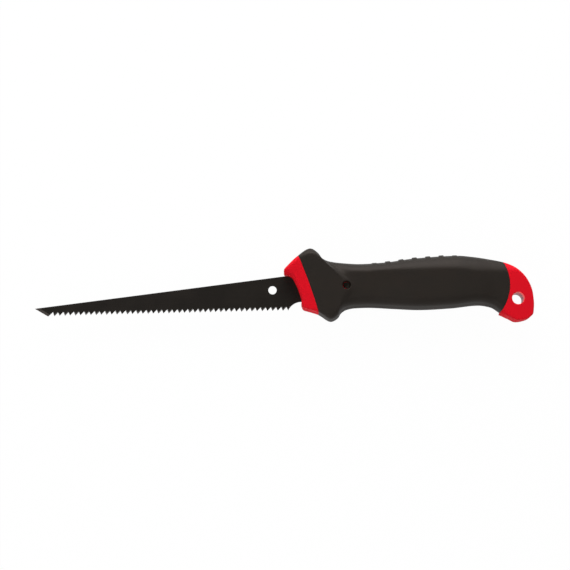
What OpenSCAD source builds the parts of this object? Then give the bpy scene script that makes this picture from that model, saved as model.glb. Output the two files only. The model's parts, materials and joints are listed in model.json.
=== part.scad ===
// Drywall saw: a push-cut plunge blade moulded into a hard core with a soft grip.
// The saw lies on its side. +X runs from the blade's tip to the butt, +Y is the back of the
// blade, and +Z is the saw's thickness. The origin is under the middle of its outer box.
// Inside the modules x = 0 is the collar's front, y = 0 the handle's centre line and z = 0
// the middle of the plate.

/* [Blade] */
// Length of the blade in front of the collar
blade_reach = 149.9; // [125:0.1:175]
// Thickness of the plate
blade_t = 1.5; // [1:0.1:2.2]
// Height of the back edge above the centre line at the collar
blade_back_y = 5.4; // [4.5:0.1:6.5]
// Height of the tip's point above the tooth line
tip_h = 4.8; // [3:0.1:6]
// Slope of the ground tip, degrees from the tooth line
tip_angle = 31; // [25:1:45]
// Length of the bevel ground on both sides of the tip
tip_bevel = 1.6; // [0.8:0.1:2.2]
// Thickness left at the ground edge
edge_land = 0.3; // [0.2:0.05:0.6]

/* [Teeth] */
// Distance from tooth to tooth
tooth_pitch = 3.11; // [2.4:0.01:4.2]
// Depth of a gullet
tooth_depth = 2.65; // [1.8:0.05:3]
// Angle of a tooth's front flank from upright
tooth_rake = 18; // [5:1:25]
// Slope of the tooth row, degrees
row_slope = 1.35; // [0.5:0.05:2]
// Distance of the last tooth behind the collar's front
last_tooth_x = 1.8; // [0:0.1:2.5]
// Depth of the last tooth below the centre line
last_tooth_y = 15.4; // [14:0.1:16.5]
// Radius of the relief behind the last tooth
heel_r = 8.8; // [6.5:0.1:10]

/* [Blade hole] */
// Diameter of the hole near the heel
blade_hole_d = 5; // [3:0.1:8]
// Distance of that hole in front of the collar
blade_hole_x = 7.5; // [6:0.1:25]
// Depth of that hole below the centre line
blade_hole_y = 3; // [1:0.1:6]

/* [Tang and pin] */
// Distance from the collar's front to the tang's end
tang_reach = 66; // [50:1:100]
// Depth of the tang's lower edge below the centre line
tang_bottom = 10; // [9:0.1:11.5]
// Height of the tang at its end
tang_end_h = 9; // [7:0.5:13]
// Diameter of the pin through the tang
pin_d = 4; // [3:0.1:5]
// Distance of the pin behind the collar's front
pin_x = 36.7; // [35:0.1:42]
// Height of the pin above the centre line, below it where negative
pin_y = -0.9; // [-2:0.1:2]
// Depth of the pin's ends under the core's skin
pin_sink = 1; // [0:0.1:2]
// Clearance round the tang and the pin
moulded_gap = 0.04; // [0.02:0.01:0.1]

/* [Handle length] */
// Length of the handle from the collar's front to the butt
handle_l = 148.5; // [140:1:165]
// Length of the red collar along its back
collar_l = 8.4; // [7:0.1:11]
// Length of the red butt along its back
butt_l = 18.4; // [16:0.1:22]
// How far the guard's lower lobe lies behind its upper lobe
guard_lean = 12.7; // [9:0.1:15]
// How far the neck's belly lies behind its back
neck_lean = 6.3; // [4:0.1:8]
// How far the butt's lower seam lies in front of its upper seam
seam_lean = 1.3; // [0:0.1:5]

/* [Handle outline] */
// How far the collar's upper corner reaches in front of its front
collar_nose = 0.8; // [0:0.1:1.5]
// Height of the collar's upper front corner
collar_top = 9.2; // [9:0.1:12]
// Distance of the collar's lower front corner behind its front
collar_toe = 10.9; // [9:0.1:13]
// Depth of the collar's lower front corner
collar_bottom = 14.6; // [13:0.1:16]
// Distance of the guard's upper lobe behind the collar's front
guard_x = 15; // [13:0.1:17]
// Height of the guard's upper lobe
guard_top = 22; // [20:0.1:25]
// Depth of the guard's lower lobe
guard_bottom = 21.9; // [20:0.1:25]
// Distance of the neck behind the collar's front
neck_x = 44; // [42:0.5:48]
// Height of the back at the neck
neck_top = 12.8; // [12:0.1:14.5]
// Depth of the belly at the neck
neck_bottom = 13.7; // [12.5:0.1:14.5]
// Distance of the thumb swell behind the collar's front
swell_x = 104; // [98:0.5:106]
// Height of the thumb swell
swell_top = 17.85; // [16.5:0.05:20]
// Distance of the belly's lowest point behind the collar's front
belly_x = 80; // [76:0.5:86]
// Depth of the belly
belly_bottom = 15; // [14:0.1:17]
// Distance of the waist behind the collar's front
waist_x = 116; // [112:0.5:118]
// Depth of the waist in front of the butt
waist_bottom = 12.35; // [11:0.05:13.5]
// Height of the back at the butt's seam
seam_top = 13.9; // [12.5:0.1:15]
// Depth of the belly at the butt's seam
seam_bottom = 16.9; // [15:0.1:18]
// Distance of the butt's lowest point in front of its end
butt_low_x = 10; // [8:0.1:12]
// Depth of the butt's lowest point
butt_bottom = 21.9; // [20:0.1:25]
// Depth of the butt's rearmost point
butt_end_y = 10.5; // [9:0.1:12]
// Height of the butt's lower rear corner above its lowest point
butt_corner_h = 3.8; // [3:0.1:6]
// How far that corner lies in front of the butt's end
butt_corner_x = 0.5; // [0:0.1:1.2]
// How far the butt stands proud of the rubber on the belly
butt_lip = 1.2; // [0:0.1:1.6]

/* [Handle cross lines] */
// Depth of the scoop in the collar's front, round the blade
scoop_depth = 2.7; // [1:0.1:3.5]
// How far the middle of the collar's rear edge swings back
collar_bow = 0.6; // [0:0.1:2]
// How far the middle of the guard's face swings back
guard_bow = 3; // [1:0.1:4]
// How far the V of the guard's rear edge points back
guard_vee = 9.5; // [6:0.1:11]
// How far the middle of the neck swings back
neck_bow = 3.5; // [1:0.1:4]
// How far the middle of the butt's front edge swings back
seam_bow = 4.7; // [3:0.1:6]

/* [Handle thickness] */
// Thickness of the collar's front
collar_t = 21.6; // [20:0.1:24]
// Thickness of the guard
guard_t = 25; // [24:0.1:28]
// Thickness of the neck
neck_t = 22; // [20:0.1:23.5]
// Thickness of the palm swell
palm_t = 25; // [24:0.1:28]
// Thickness of the butt
butt_t = 20; // [18:0.1:23]
// Rounding of the collar's and the butt's edges
edge_r = 2.5; // [1.5:0.1:3]
// Width of the bevel along the grip's back
bevel_w = 8.6; // [6:0.1:10]
// Rounding of the grip's belly
belly_r = 6; // [4.5:0.1:7]
// How far the back and the belly bulge at the parting line
edge_bulge = 1.2; // [0.4:0.1:1.6]

/* [Soft grip] */
// Thickness of the rubber on the back and belly
skin_edge = 2.6; // [1.6:0.1:3.4]
// Thickness of the rubber on the sides
skin_side = 2.4; // [1.6:0.1:3.2]
// Gap between the pin and the access hole's wall
access_gap = 0.6; // [0.2:0.05:1]
// Number of thumb ribs
rib_count = 7; // [3:1:9]
// Distance from rib to rib
rib_pitch = 8.05; // [6:0.05:8.5]
// Height of a thumb rib
rib_h = 0.6; // [0.3:0.1:1]
// Height of the first and the last rib, which run out into the back
rib_end_h = 0.3; // [0.1:0.1:1]
// Length of a rib's foot along the back
rib_l = 3.3; // [2.2:0.1:4]
// Length of the slope at either end of a rib
rib_ramp_l = 0.4; // [0.2:0.1:0.8]
// Distance of the middle of the rib row behind the collar's front
rib_mid_x = 77.5; // [74:0.1:80]

/* [Hang hole] */
// Diameter of the hang hole
hang_d = 7.3; // [5:0.1:9]
// Distance of the hang hole in front of the butt's end
hang_x = 9.5; // [8.5:0.1:11]
// Depth of the hang hole below the centre line
hang_y = 8.5; // [5:0.1:10]
// Rounding of the hang hole's rims
hang_rim = 0.4; // [0.2:0.1:1]

/* [Hidden] */
$fn = 64;
// A little more than a face, for cuts that run through
through = 1;

// The row's origin lies under the middle of the whole saw
half_t = max(guard_t, palm_t) / 2;
mid_x = (handle_l - blade_reach) / 2;
mid_y = (guard_top - max(guard_bottom, butt_bottom)) / 2;

// ---- Stations along the handle ----

// Shape of the guard's rear flanks: shares of the way from the upper lobe and from the lower
// lobe to the neck
FLANK = [[0.15, 0.255], [0.235, 0.59], [0.38, 0.81], [0.64, 0.935]];
LOW_FLANK = [[0.18, 0.25], [0.255, 0.57], [0.39, 0.83], [0.62, 0.965]];
// Shape of the butt's back: shares of the way from the seam to the butt's end
BUTT_BACK = [[0.442, 0.157], [0.772, 0.407], [0.951, 0.713]];
// Share of the guard's rise that is reached at the collar's seam
COLLAR_RISE = 0.652;
// Shares of the way along the back where the long swell is guided
SWELL_RISE = [[0.245, 0.165], [0.57, 0.683]];
// Shares of the way from the swell to the seam where its fall is guided
SWELL_FALL = [[0.33, 0.18], [0.69, 0.55]];

top_lobe = [guard_x, guard_top];
top_neck = [neck_x, neck_top];
low_lobe = [guard_x + guard_lean, -guard_bottom];
low_neck = [neck_x + neck_lean, -neck_bottom];
top_swell = [swell_x, swell_top];
top_seam = [handle_l - butt_l, seam_top];
low_seam = [top_seam.x - seam_lean, -seam_bottom];
low_collar = [collar_toe, -collar_bottom];
low_belly = [belly_x, -belly_bottom];
low_waist = [waist_x, -waist_bottom];
butt_low = [handle_l - butt_low_x, -butt_bottom];
butt_end = [handle_l, -butt_end_y];
butt_corner = [handle_l - butt_corner_x, butt_corner_h - butt_bottom];

// A point a share of the way from a to b, with one share for x and one for y
function between(a, b, share) = [a.x + (b.x - a.x) * share.x, a.y + (b.y - a.y) * share.y];

// The back's points, from the collar's corner round to the butt's end
TOP = [
    [-collar_nose, collar_top],
    [collar_l - collar_nose, collar_top + (guard_top - collar_top) * COLLAR_RISE],
    top_lobe,
    for (share = FLANK) between(top_lobe, top_neck, share),
    top_neck,
    for (share = SWELL_RISE) between(top_neck, top_swell, share),
    top_swell,
    for (share = SWELL_FALL) between(top_swell, top_seam, share),
    top_seam,
    for (share = BUTT_BACK) between(top_seam, butt_end, share),
    butt_end
];

// The belly's points, each opposite the point of the same place in TOP
LOW = [
    low_collar,
    between(low_collar, low_lobe, [0.55, 0.39]),
    low_lobe,
    for (share = LOW_FLANK) between(low_lobe, low_neck, share),
    low_neck,
    between(low_neck, low_belly, [0.47, 0.5]),
    low_belly,
    between(low_belly, low_waist, [0.53, 0.36]),
    low_waist,
    between(low_waist, low_seam, [0.55, 0.25]),
    low_seam,
    between(low_seam, butt_low, [0.5, 0.6]),
    butt_low,
    between(butt_low, butt_corner, [0.64, 0.31]),
    butt_corner
];

// Stations: 0 collar's front, 1 front seam, 2 guard's lobes, 3 to 6 its rear flanks, 7 neck,
// 8 and 9 rise to the palm, 10 thumb swell, 11 and 12 waist, 13 rear seam, 14 to 17 butt
seam_front = 1;
seam_rear = 13;
last_station = 17;

function mixed(a, b, share) = a + (b - a) * share;
// Half thickness at each station
HALF = [for (t = [collar_t, mixed(collar_t, guard_t, 0.67), guard_t, guard_t,
    mixed(guard_t, neck_t, 0.17), mixed(guard_t, neck_t, 0.8), neck_t, neck_t,
    mixed(neck_t, palm_t, 0.5), palm_t, palm_t, mixed(palm_t, butt_t, 0.25),
    mixed(palm_t, butt_t, 0.83), butt_t, butt_t, butt_t, butt_t, butt_t]) t / 2];
// How far the middle of each cross line swings back, as an even arc
BOW = collar_bow * [0, 1, 0, 0, 0, 0, 0, 0, 0, 0, 0, 0, 0, 0, 0, 0, 0, 0]
    + guard_bow * [0, 0, 1, 0, 0, 0, 0, 0, 0, 0, 0, 0, 0, 0, 0, 0, 0, 0]
    + neck_bow * [0, 0, 0, 0, 0, 0, 0.6, 1, 0.6, 0, 0, 0, 0, 0, 0, 0, 0, 0]
    + seam_bow * [0, 0, 0, 0, 0, 0, 0, 0, 0, 0, 0, 0.3, 0.65, 1, 0.95, 0.65, 0.22, 0.03];
// How far it swings back as a V with soft ends, which shapes the guard's rear edge
VEE = guard_vee * [0, 0, 0.3, 1, 1, 0.95, 0.65, 0.2, 0, 0, 0, 0, 0, 0, 0, 0, 0, 0];
// Width and drop of the edge along the back
BACK_W = edge_r * [1, 1, 0, 0, 0, 0, 0, 0, 0, 0, 0, 0, 0, 1, 1, 1, 1, 1]
    + bevel_w * [0, 0, 0.53, 0.7, 0.88, 1.05, 0.76, 0.66, 0.66, 0.9, 1.05, 1.1, 0.95, 0.45, 0, 0, 0, 0];
BACK_DROP = edge_r * [1, 1, 0, 0, 0, 0, 0, 0, 0, 0, 0, 0, 0, 1, 1, 1, 1, 1]
    + bevel_w * [0, 0.18, 0.53, 0.57, 0.62, 0.62, 0.5, 0.5, 0.52, 0.66, 0.73, 0.7, 0.55, 0.12, 0, 0, 0, 0];
// Width and drop of the edge along the belly
BELLY_W = edge_r * [1, 1, 0, 0, 0, 0, 0, 0, 0, 0, 0, 0, 0, 1, 1, 1, 1, 1]
    + belly_r * [0, 0.1, 0.6, 0.7, 0.8, 0.9, 1, 1, 1, 1, 1, 1, 0.9, 0.2, 0, 0, 0, 0];
// How far both edges bulge between the parting line and the corner
CROWN = edge_bulge
    * [0.25, 0.35, 0.5, 0.7, 0.8, 1, 1, 1, 1, 1, 1, 1, 0.8, 0.5, 0.25, 0.25, 0.25, 0.25];
// Profile of the scoop: share of the collar's height, share of the scoop's depth
SCOOP = [[0, 0], [0.08, -0.33], [0.14, -0.22], [0.22, 0.78], [0.3, 1], [0.45, 1],
    [0.65, 0.8], [0.8, 0.5], [0.9, 0.07], [1, 0]];
// Bluntness of the bevel's corner and of a rounded edge: 2 is a circle, 1 a straight cut
bevel_power = 1.5;
round_power = 2;
// Least height of a ring's wall
least_wall = 1;

// ---- Smooth curves through the stations ----

// Slope at a point between two pieces with the given slopes and lengths, with no overshoot
function eased_slope(d0, d1, h0, h1) =
    d0 * d1 <= 0 ? 0 : 3 * (h0 + h1) / ((2 * h1 + h0) / d0 + (h1 + 2 * h0) / d1);
function slopes(values, spans) =
    let (d = [for (i = [0 : len(spans) - 1]) (values[i + 1] - values[i]) / spans[i]], n = len(d))
    [for (i = [0 : n]) i == 0 ? d[0] : i == n ? d[n - 1]
        : eased_slope(d[i - 1], d[i], spans[i - 1], spans[i])];
// A track holds the values, their spacing and their slopes
function track(values, spans) = [values, spans, slopes(values, spans)];
// The value of a track at station u, which may lie between stations
function on(tr, u) =
    let (i = min(floor(u), len(tr[1]) - 1), t = u - i, h = tr[1][i])
    (2 * pow(t, 3) - 3 * pow(t, 2) + 1) * tr[0][i] + (pow(t, 3) - 2 * pow(t, 2) + t) * h * tr[2][i]
    + (3 * pow(t, 2) - 2 * pow(t, 3)) * tr[0][i + 1] + (pow(t, 3) - pow(t, 2)) * h * tr[2][i + 1];

top_spans = [for (i = [0 : last_station - 1]) norm(TOP[i + 1] - TOP[i])];
low_spans = [for (i = [0 : last_station - 1]) norm(LOW[i + 1] - LOW[i])];
top_x = track([for (p = TOP) p.x], top_spans);
top_y = track([for (p = TOP) p.y], top_spans);
low_x = track([for (p = LOW) p.x], low_spans);
low_y = track([for (p = LOW) p.y], low_spans);
half = track(HALF, top_spans);
bow = track(BOW, top_spans);
vee = track(VEE, top_spans);
back_w = track(BACK_W, top_spans);
back_drop = track(BACK_DROP, top_spans);
belly_w = track(BELLY_W, low_spans);
crown = track(CROWN, top_spans);

// The station at which the back reaches x
function station_at(x, lo = 2, hi = last_station, tries = 24) =
    let (mid = (lo + hi) / 2)
    tries == 0 ? mid : on(top_x, mid) < x ? station_at(x, mid, hi, tries - 1)
        : station_at(x, lo, mid, tries - 1);

// ---- Rings round the handle ----

wall_steps = 2;
corner_steps = 5;
flat_steps = 12;

// Points of a rounded edge from the parting line to the flat side, as [depth, height]:
// a bulging wall, then a corner of the given width, drop and power
function edge(half_z, width, drop, bulge, power) =
    let (drop_in = min(drop, half_z - least_wall))
    concat(
        [for (i = [0 : wall_steps - 1]) let (f = i / wall_steps) [bulge * f * f, f * (half_z - drop_in)]],
        [for (i = [0 : corner_steps]) let (a = 90 * i / corner_steps)
            [bulge + (width - bulge) * (1 - pow(cos(a), 2 / power)),
            half_z - drop_in + drop_in * pow(sin(a), 2 / power)]]);

// The cross line at station u: the place a share v of the way from the back to the belly
function cross_line(u, v, a, b) =
    let (p = a + (b - a) * v, front = max(0, 1 - u))
    [p.x + 4 * v * (1 - v) * on(bow, u) + pow(sin(180 * v), 2) * on(vee, u)
        + scoop_depth * front * lookup(v, SCOOP), p.y];

// One closed ring of points at station u. Inset by the rubber where "spine" is 1, thinned by
// "thin" on both sides, lifted by "lift" along the back and by "lip" along the belly
function ring(u, spine = 0, thin = 0, lift = 0, lip = 0) =
    let (
        t0 = [on(top_x, u), on(top_y, u)], b0 = [on(low_x, u), on(low_y, u)],
        across = (b0 - t0) / norm(b0 - t0),
        t = t0 + across * skin_edge * spine, b = b0 - across * skin_edge * spine,
        width = norm(b - t), half_z = on(half, u) - skin_side * spine - thin,
        back = edge(half_z, on(back_w, u), on(back_drop, u), on(crown, u), bevel_power),
        belly = edge(half_z, on(belly_w, u), on(belly_w, u), on(crown, u), round_power),
        n = len(back),
        upper = concat(
            [for (i = [0 : n - 1]) [back[i].x - lift * max(0, 1 - max(0, i - wall_steps) / 2), back[i].y]],
            [for (i = [1 : flat_steps - 1])
                [back[n - 1].x + (width - belly[n - 1].x - back[n - 1].x) * i / flat_steps, half_z]],
            [for (i = [n - 1 : -1 : 0])
                [width - belly[i].x + lip * max(0, 1 - i / n), belly[i].y]]),
        m = len(upper),
        full = concat(upper, [for (i = [m - 2 : -1 : 1]) [upper[i].x, -upper[i].y]])
    )
    [for (p = full) let (q = cross_line(u, p.x / width, t, b)) [q.x, q.y, p.y]];

// ---- Skins ----

// Faces between rings a and b of n points each; "swap" picks the other diagonal
function band(a, b, n, swap) =
    [for (k = [0 : n - 1]) let (a0 = a * n + k, a1 = a * n + (k + 1) % n,
        b0 = b * n + k, b1 = b * n + (k + 1) % n)
        each swap ? [[a0, b0, a1], [a1, b0, b1]] : [[a0, b0, b1], [a0, b1, a1]]];
// Faces that close ring a, as strips across the thickness
function cap(a, n, outward) =
    let (faces = [for (k = [0 : n / 2 - 1]) let (p = a * n + k, q = p + 1,
        r = a * n + (n - k - 1) % n, s = a * n + (n - k) % n)
        each k == 0 ? [[p, q, r]] : k == n / 2 - 1 ? [[p, q, s]] : [[p, q, r], [p, r, s]]])
    [for (f = faces) outward ? f : [f[2], f[1], f[0]]];

// A closed solid through a list of rings, with both ends capped
module lofted(rings) {
    n = len(rings[0]);
    last = len(rings) - 1;
    polyhedron(
        points = [for (r = rings) each r],
        faces = concat(cap(0, n, true), [for (i = [0 : last - 1]) each band(i, i + 1, n, false)],
            cap(last, n, false)),
        convexity = 6);
}

// A closed tube through a list of rings that returns to the first one
module looped(rings) {
    n = len(rings[0]);
    count = len(rings);
    polyhedron(
        points = [for (r = rings) each r],
        faces = [for (i = [0 : count - 1]) each band(i, (i + 1) % count, n, true)],
        convexity = 8);
}

// Moves a piece from the handle's frame to the row's frame
module placed() {
    translate([-mid_x, -mid_y, half_t]) children();
}

// ---- Blade ----

function row_y(x) = -last_tooth_y + (x - last_tooth_x) * tan(row_slope);
tip_x = -blade_reach;
tip_y = row_y(tip_x) + tip_h;
corner_x = tip_x + tip_h / tan(tip_angle);
tooth_count = floor((last_tooth_x - corner_x) / tooth_pitch);
first_tooth_x = last_tooth_x - (tooth_count - 1) * tooth_pitch;
// The last tooth runs out in a round relief that meets the tang's lower edge
heel_y = -tang_bottom - heel_r;
heel_x = last_tooth_x + sqrt(pow(heel_r, 2) - pow(-last_tooth_y - heel_y, 2));

// The row of teeth, from the tip's lower corner to the last tooth
TEETH = [
    [corner_x, row_y(corner_x)],
    for (i = [0 : tooth_count - 1]) let (x = first_tooth_x + i * tooth_pitch)
        each [[x - tooth_depth * tan(tooth_rake), row_y(x) + tooth_depth], [x, row_y(x)]]
];
heel_start = atan2(-last_tooth_y - heel_y, last_tooth_x - heel_x);
HEEL = [for (i = [1 : 6]) let (a = heel_start + (90 - heel_start) * i / 6)
    [heel_x + heel_r * cos(a), heel_y + heel_r * sin(a)]];

// Outline of the tang inside the handle, grown by a clearance
function tang_outline(from_x, gap) = [
    [from_x, -tang_bottom - gap], [pin_x, -tang_bottom - gap],
    [tang_reach + gap, pin_y - tang_end_h / 2 - gap], [tang_reach + gap, pin_y + tang_end_h / 2 + gap],
    [pin_x, blade_back_y + gap], [from_x, blade_back_y + gap]];

// Slab that grinds one side of the tip: it starts on the edge line and rises to the full plate
module tip_grind() {
    bevel_angle = atan((blade_t - edge_land) / 2 / tip_bevel);
    translate([tip_x, tip_y, edge_land / 2])
        rotate([0, 0, -tip_angle])
            rotate([bevel_angle, 0, 0])
                translate([-blade_t, -blade_t, 0])
                    cube([tip_h / sin(tip_angle) + 2 * blade_t, tip_bevel + 2 * blade_t, blade_t]);
}

module blade() {
    color([0.14, 0.13, 0.12])
    placed()
    difference() {
        translate([0, 0, -blade_t / 2])
            linear_extrude(blade_t)
                polygon(concat([[tip_x, tip_y]], TEETH, HEEL,
                    tang_outline(heel_x + through, 0),
                    [[0, blade_back_y]]));
        translate([-blade_hole_x, -blade_hole_y, -blade_t])
            cylinder(h = 2 * blade_t, d = blade_hole_d);
        translate([pin_x, pin_y, -blade_t])
            cylinder(h = 2 * blade_t, d = pin_d + 2 * moulded_gap);
        tip_grind();
        mirror([0, 0, 1]) tip_grind();
    }
}

// ---- Handle core ----

// Rings of the spine, which the rubber's inner face repeats
SPINE = [for (u = [seam_front : 0.5 : seam_rear]) ring(u, spine = 1)];
// Rounding steps at the two ends: share of the radius from the end, and what it takes off
round_steps = 4;
function round_thin(i) = edge_r * (1 - sin(90 * i / round_steps));
function round_run(i) = edge_r * (1 - cos(90 * i / round_steps));
collar_len = (top_spans[0] + low_spans[0]) / 2;
butt_tail = top_spans[last_station - 1];
COLLAR = concat(
    [for (i = [0 : round_steps]) ring(round_run(i) / collar_len, thin = round_thin(i))],
    [for (t = [0.4, 0.6, 0.8, 1]) ring(t)]);
BUTT = concat(
    [for (u = [seam_rear : 0.25 : last_station - 1])
        ring(u, lip = butt_lip * max(0, 1 - (u - seam_rear)))],
    [for (t = [0.25, 0.45]) ring(last_station - 1 + t)],
    [for (i = [round_steps : -1 : 0])
        ring(last_station - round_run(i) / butt_tail, thin = round_thin(i))]);

module handle_core() {
    color([0.8, 0.07, 0.1])
    placed()
    difference() {
        lofted(concat(COLLAR, SPINE, BUTT));
        translate([0, 0, -blade_t / 2 - moulded_gap])
            linear_extrude(blade_t + 2 * moulded_gap)
                polygon(tang_outline(-collar_l, moulded_gap));
        translate([pin_x, pin_y, -half_t])
            cylinder(h = 2 * half_t, d = pin_d + moulded_gap);
        translate([handle_l - hang_x, -hang_y, -half_t])
            cylinder(h = 2 * half_t, d = hang_d);
        for (side = [0, 1])
            mirror([0, 0, side])
                translate([handle_l - hang_x, -hang_y, butt_t / 2 - hang_rim])
                    cylinder(h = hang_rim + through, d1 = hang_d,
                        d2 = hang_d + 2 * (hang_rim + through));
    }
}

// ---- Soft grip ----

first_rib_x = rib_mid_x - (rib_count - 1) / 2 * rib_pitch;
rib_top_l = rib_l - 2 * rib_ramp_l;
// Each rib has a ring at either foot and at either end of its top: place along the back, share
// of the height
RIB_FORM = [[-rib_l / 2, 0], [-rib_top_l / 2, 1], [rib_top_l / 2, 1], [rib_l / 2, 0]];
function rib_rise(i) = i == 0 || i == rib_count - 1 ? rib_end_h : rib_h;
RIB_RINGS = [for (i = [0 : rib_count - 1], form = RIB_FORM)
    ring(station_at(first_rib_x + i * rib_pitch + form[0]), lift = form[1] * rib_rise(i))];
rib_start = station_at(first_rib_x - rib_l);
rib_stop = station_at(first_rib_x + (rib_count - 1) * rib_pitch + rib_l);
GRIP_FRONT = [for (u = [seam_front : 0.25 : rib_start]) ring(u)];
GRIP_REAR = [for (u = [ceil(rib_stop * 4) / 4 : 0.25 : seam_rear]) ring(u)];
SPINE_BACK = [for (i = [len(SPINE) - 1 : -1 : 0]) SPINE[i]];

module soft_grip() {
    color([0.18, 0.17, 0.16])
    placed()
    difference() {
        looped(concat(GRIP_FRONT, RIB_RINGS, GRIP_REAR, SPINE_BACK));
        translate([pin_x, pin_y, -half_t - through])
            cylinder(h = 2 * (half_t + through), d = pin_d + 2 * access_gap);
    }
}

// ---- Tang pin ----

module tang_pin() {
    pin_l = guard_t - 2 * (skin_side + pin_sink);
    color([0.1, 0.1, 0.1])
    placed()
    translate([pin_x, pin_y, -pin_l / 2])
        cylinder(h = pin_l, d = pin_d);
}

blade();
handle_core();
soft_grip();
tang_pin();
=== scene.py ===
"""Drywall saw: skins, finishes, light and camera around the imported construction."""

import json
import logging
import math
from dataclasses import dataclass
from enum import Enum
from functools import cached_property
from typing import Any, Sequence

import bmesh
import bpy
import numpy as np
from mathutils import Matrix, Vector
from mathutils.bvhtree import BVHTree


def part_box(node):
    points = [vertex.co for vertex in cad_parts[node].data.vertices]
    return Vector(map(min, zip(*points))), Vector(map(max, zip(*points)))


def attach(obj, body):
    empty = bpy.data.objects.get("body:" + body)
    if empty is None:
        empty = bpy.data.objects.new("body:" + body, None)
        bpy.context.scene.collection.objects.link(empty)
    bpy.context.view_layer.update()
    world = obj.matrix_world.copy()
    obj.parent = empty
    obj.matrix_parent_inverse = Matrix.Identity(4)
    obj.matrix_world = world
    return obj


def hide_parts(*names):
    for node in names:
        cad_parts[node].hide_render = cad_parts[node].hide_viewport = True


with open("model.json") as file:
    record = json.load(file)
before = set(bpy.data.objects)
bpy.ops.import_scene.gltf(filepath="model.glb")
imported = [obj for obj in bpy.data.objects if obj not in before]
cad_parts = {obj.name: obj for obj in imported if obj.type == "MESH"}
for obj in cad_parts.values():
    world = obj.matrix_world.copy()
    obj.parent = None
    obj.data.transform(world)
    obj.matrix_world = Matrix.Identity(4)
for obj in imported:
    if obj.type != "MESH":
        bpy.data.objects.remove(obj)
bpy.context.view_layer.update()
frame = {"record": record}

# Shapes are worked out in millimetres and written into the meshes in metres
MM = 0.001
# Gap between the core and what it holds, in millimetres
HOLD_GAP = 0.04
# Sides of the pin, and of the bore that holds it
PIN_SIDES = 64
# The pin's middle in the handle's frame, in millimetres, which ties that frame to the row
PIN_PLACE = Vector((36.7, -0.9, 0.0))
log = logging.getLogger("drywall_saw")

Colour = tuple[float, float, float]
Point = tuple[float, float]
# How many cells of a pattern lie in a metre along each axis
Cells = tuple[float, float, float]


# ---- Node trees ----


class Term:
    """A number in a node tree. Arithmetic on it adds Math nodes."""

    def __init__(self, sheet: "NodeSheet", socket: bpy.types.NodeSocket) -> None:
        """Keeps the tree's builder and the socket that the number comes from."""
        self.sheet = sheet
        self.socket = socket

    def _maths(self, operation: str, *terms: Any) -> "Term":
        """Adds one Math node over the given terms and returns its result."""
        inputs = dict(enumerate(terms))
        return self.sheet.term("ShaderNodeMath", {"operation": operation}, inputs)

    def __add__(self, other: Any) -> "Term":
        """self + other."""
        return self._maths("ADD", self, other)

    def __radd__(self, other: Any) -> "Term":
        """other + self."""
        return self._maths("ADD", other, self)

    def __sub__(self, other: Any) -> "Term":
        """self - other."""
        return self._maths("SUBTRACT", self, other)

    def __rsub__(self, other: Any) -> "Term":
        """other - self."""
        return self._maths("SUBTRACT", other, self)

    def __mul__(self, other: Any) -> "Term":
        """self * other."""
        return self._maths("MULTIPLY", self, other)

    def __rmul__(self, other: Any) -> "Term":
        """other * self."""
        return self._maths("MULTIPLY", other, self)

    def __truediv__(self, other: Any) -> "Term":
        """self / other."""
        return self._maths("DIVIDE", self, other)

    def __rtruediv__(self, other: Any) -> "Term":
        """other / self."""
        return self._maths("DIVIDE", other, self)

    def __mod__(self, other: Any) -> "Term":
        """self modulo other."""
        return self._maths("FLOORED_MODULO", self, other)

    def nearest(self) -> "Term":
        """The nearest whole number."""
        return self._maths("ROUND", self)

    def magnitude(self) -> "Term":
        """The absolute value."""
        return self._maths("ABSOLUTE", self)

    def tangent(self) -> "Term":
        """The tangent of an angle in radians."""
        return self._maths("TANGENT", self)

    def least(self, other: Any) -> "Term":
        """The smaller of self and other."""
        return self._maths("MINIMUM", self, other)

    def most(self, other: Any) -> "Term":
        """The larger of self and other."""
        return self._maths("MAXIMUM", self, other)

    def ease(self, low: Any, high: Any) -> "Term":
        """A smooth step: 0 up to low, 1 from high on."""
        inputs = {"Value": self, "From Min": low, "From Max": high}
        return self.sheet.term("ShaderNodeMapRange", {"interpolation_type": "SMOOTHSTEP"}, inputs)


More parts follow.
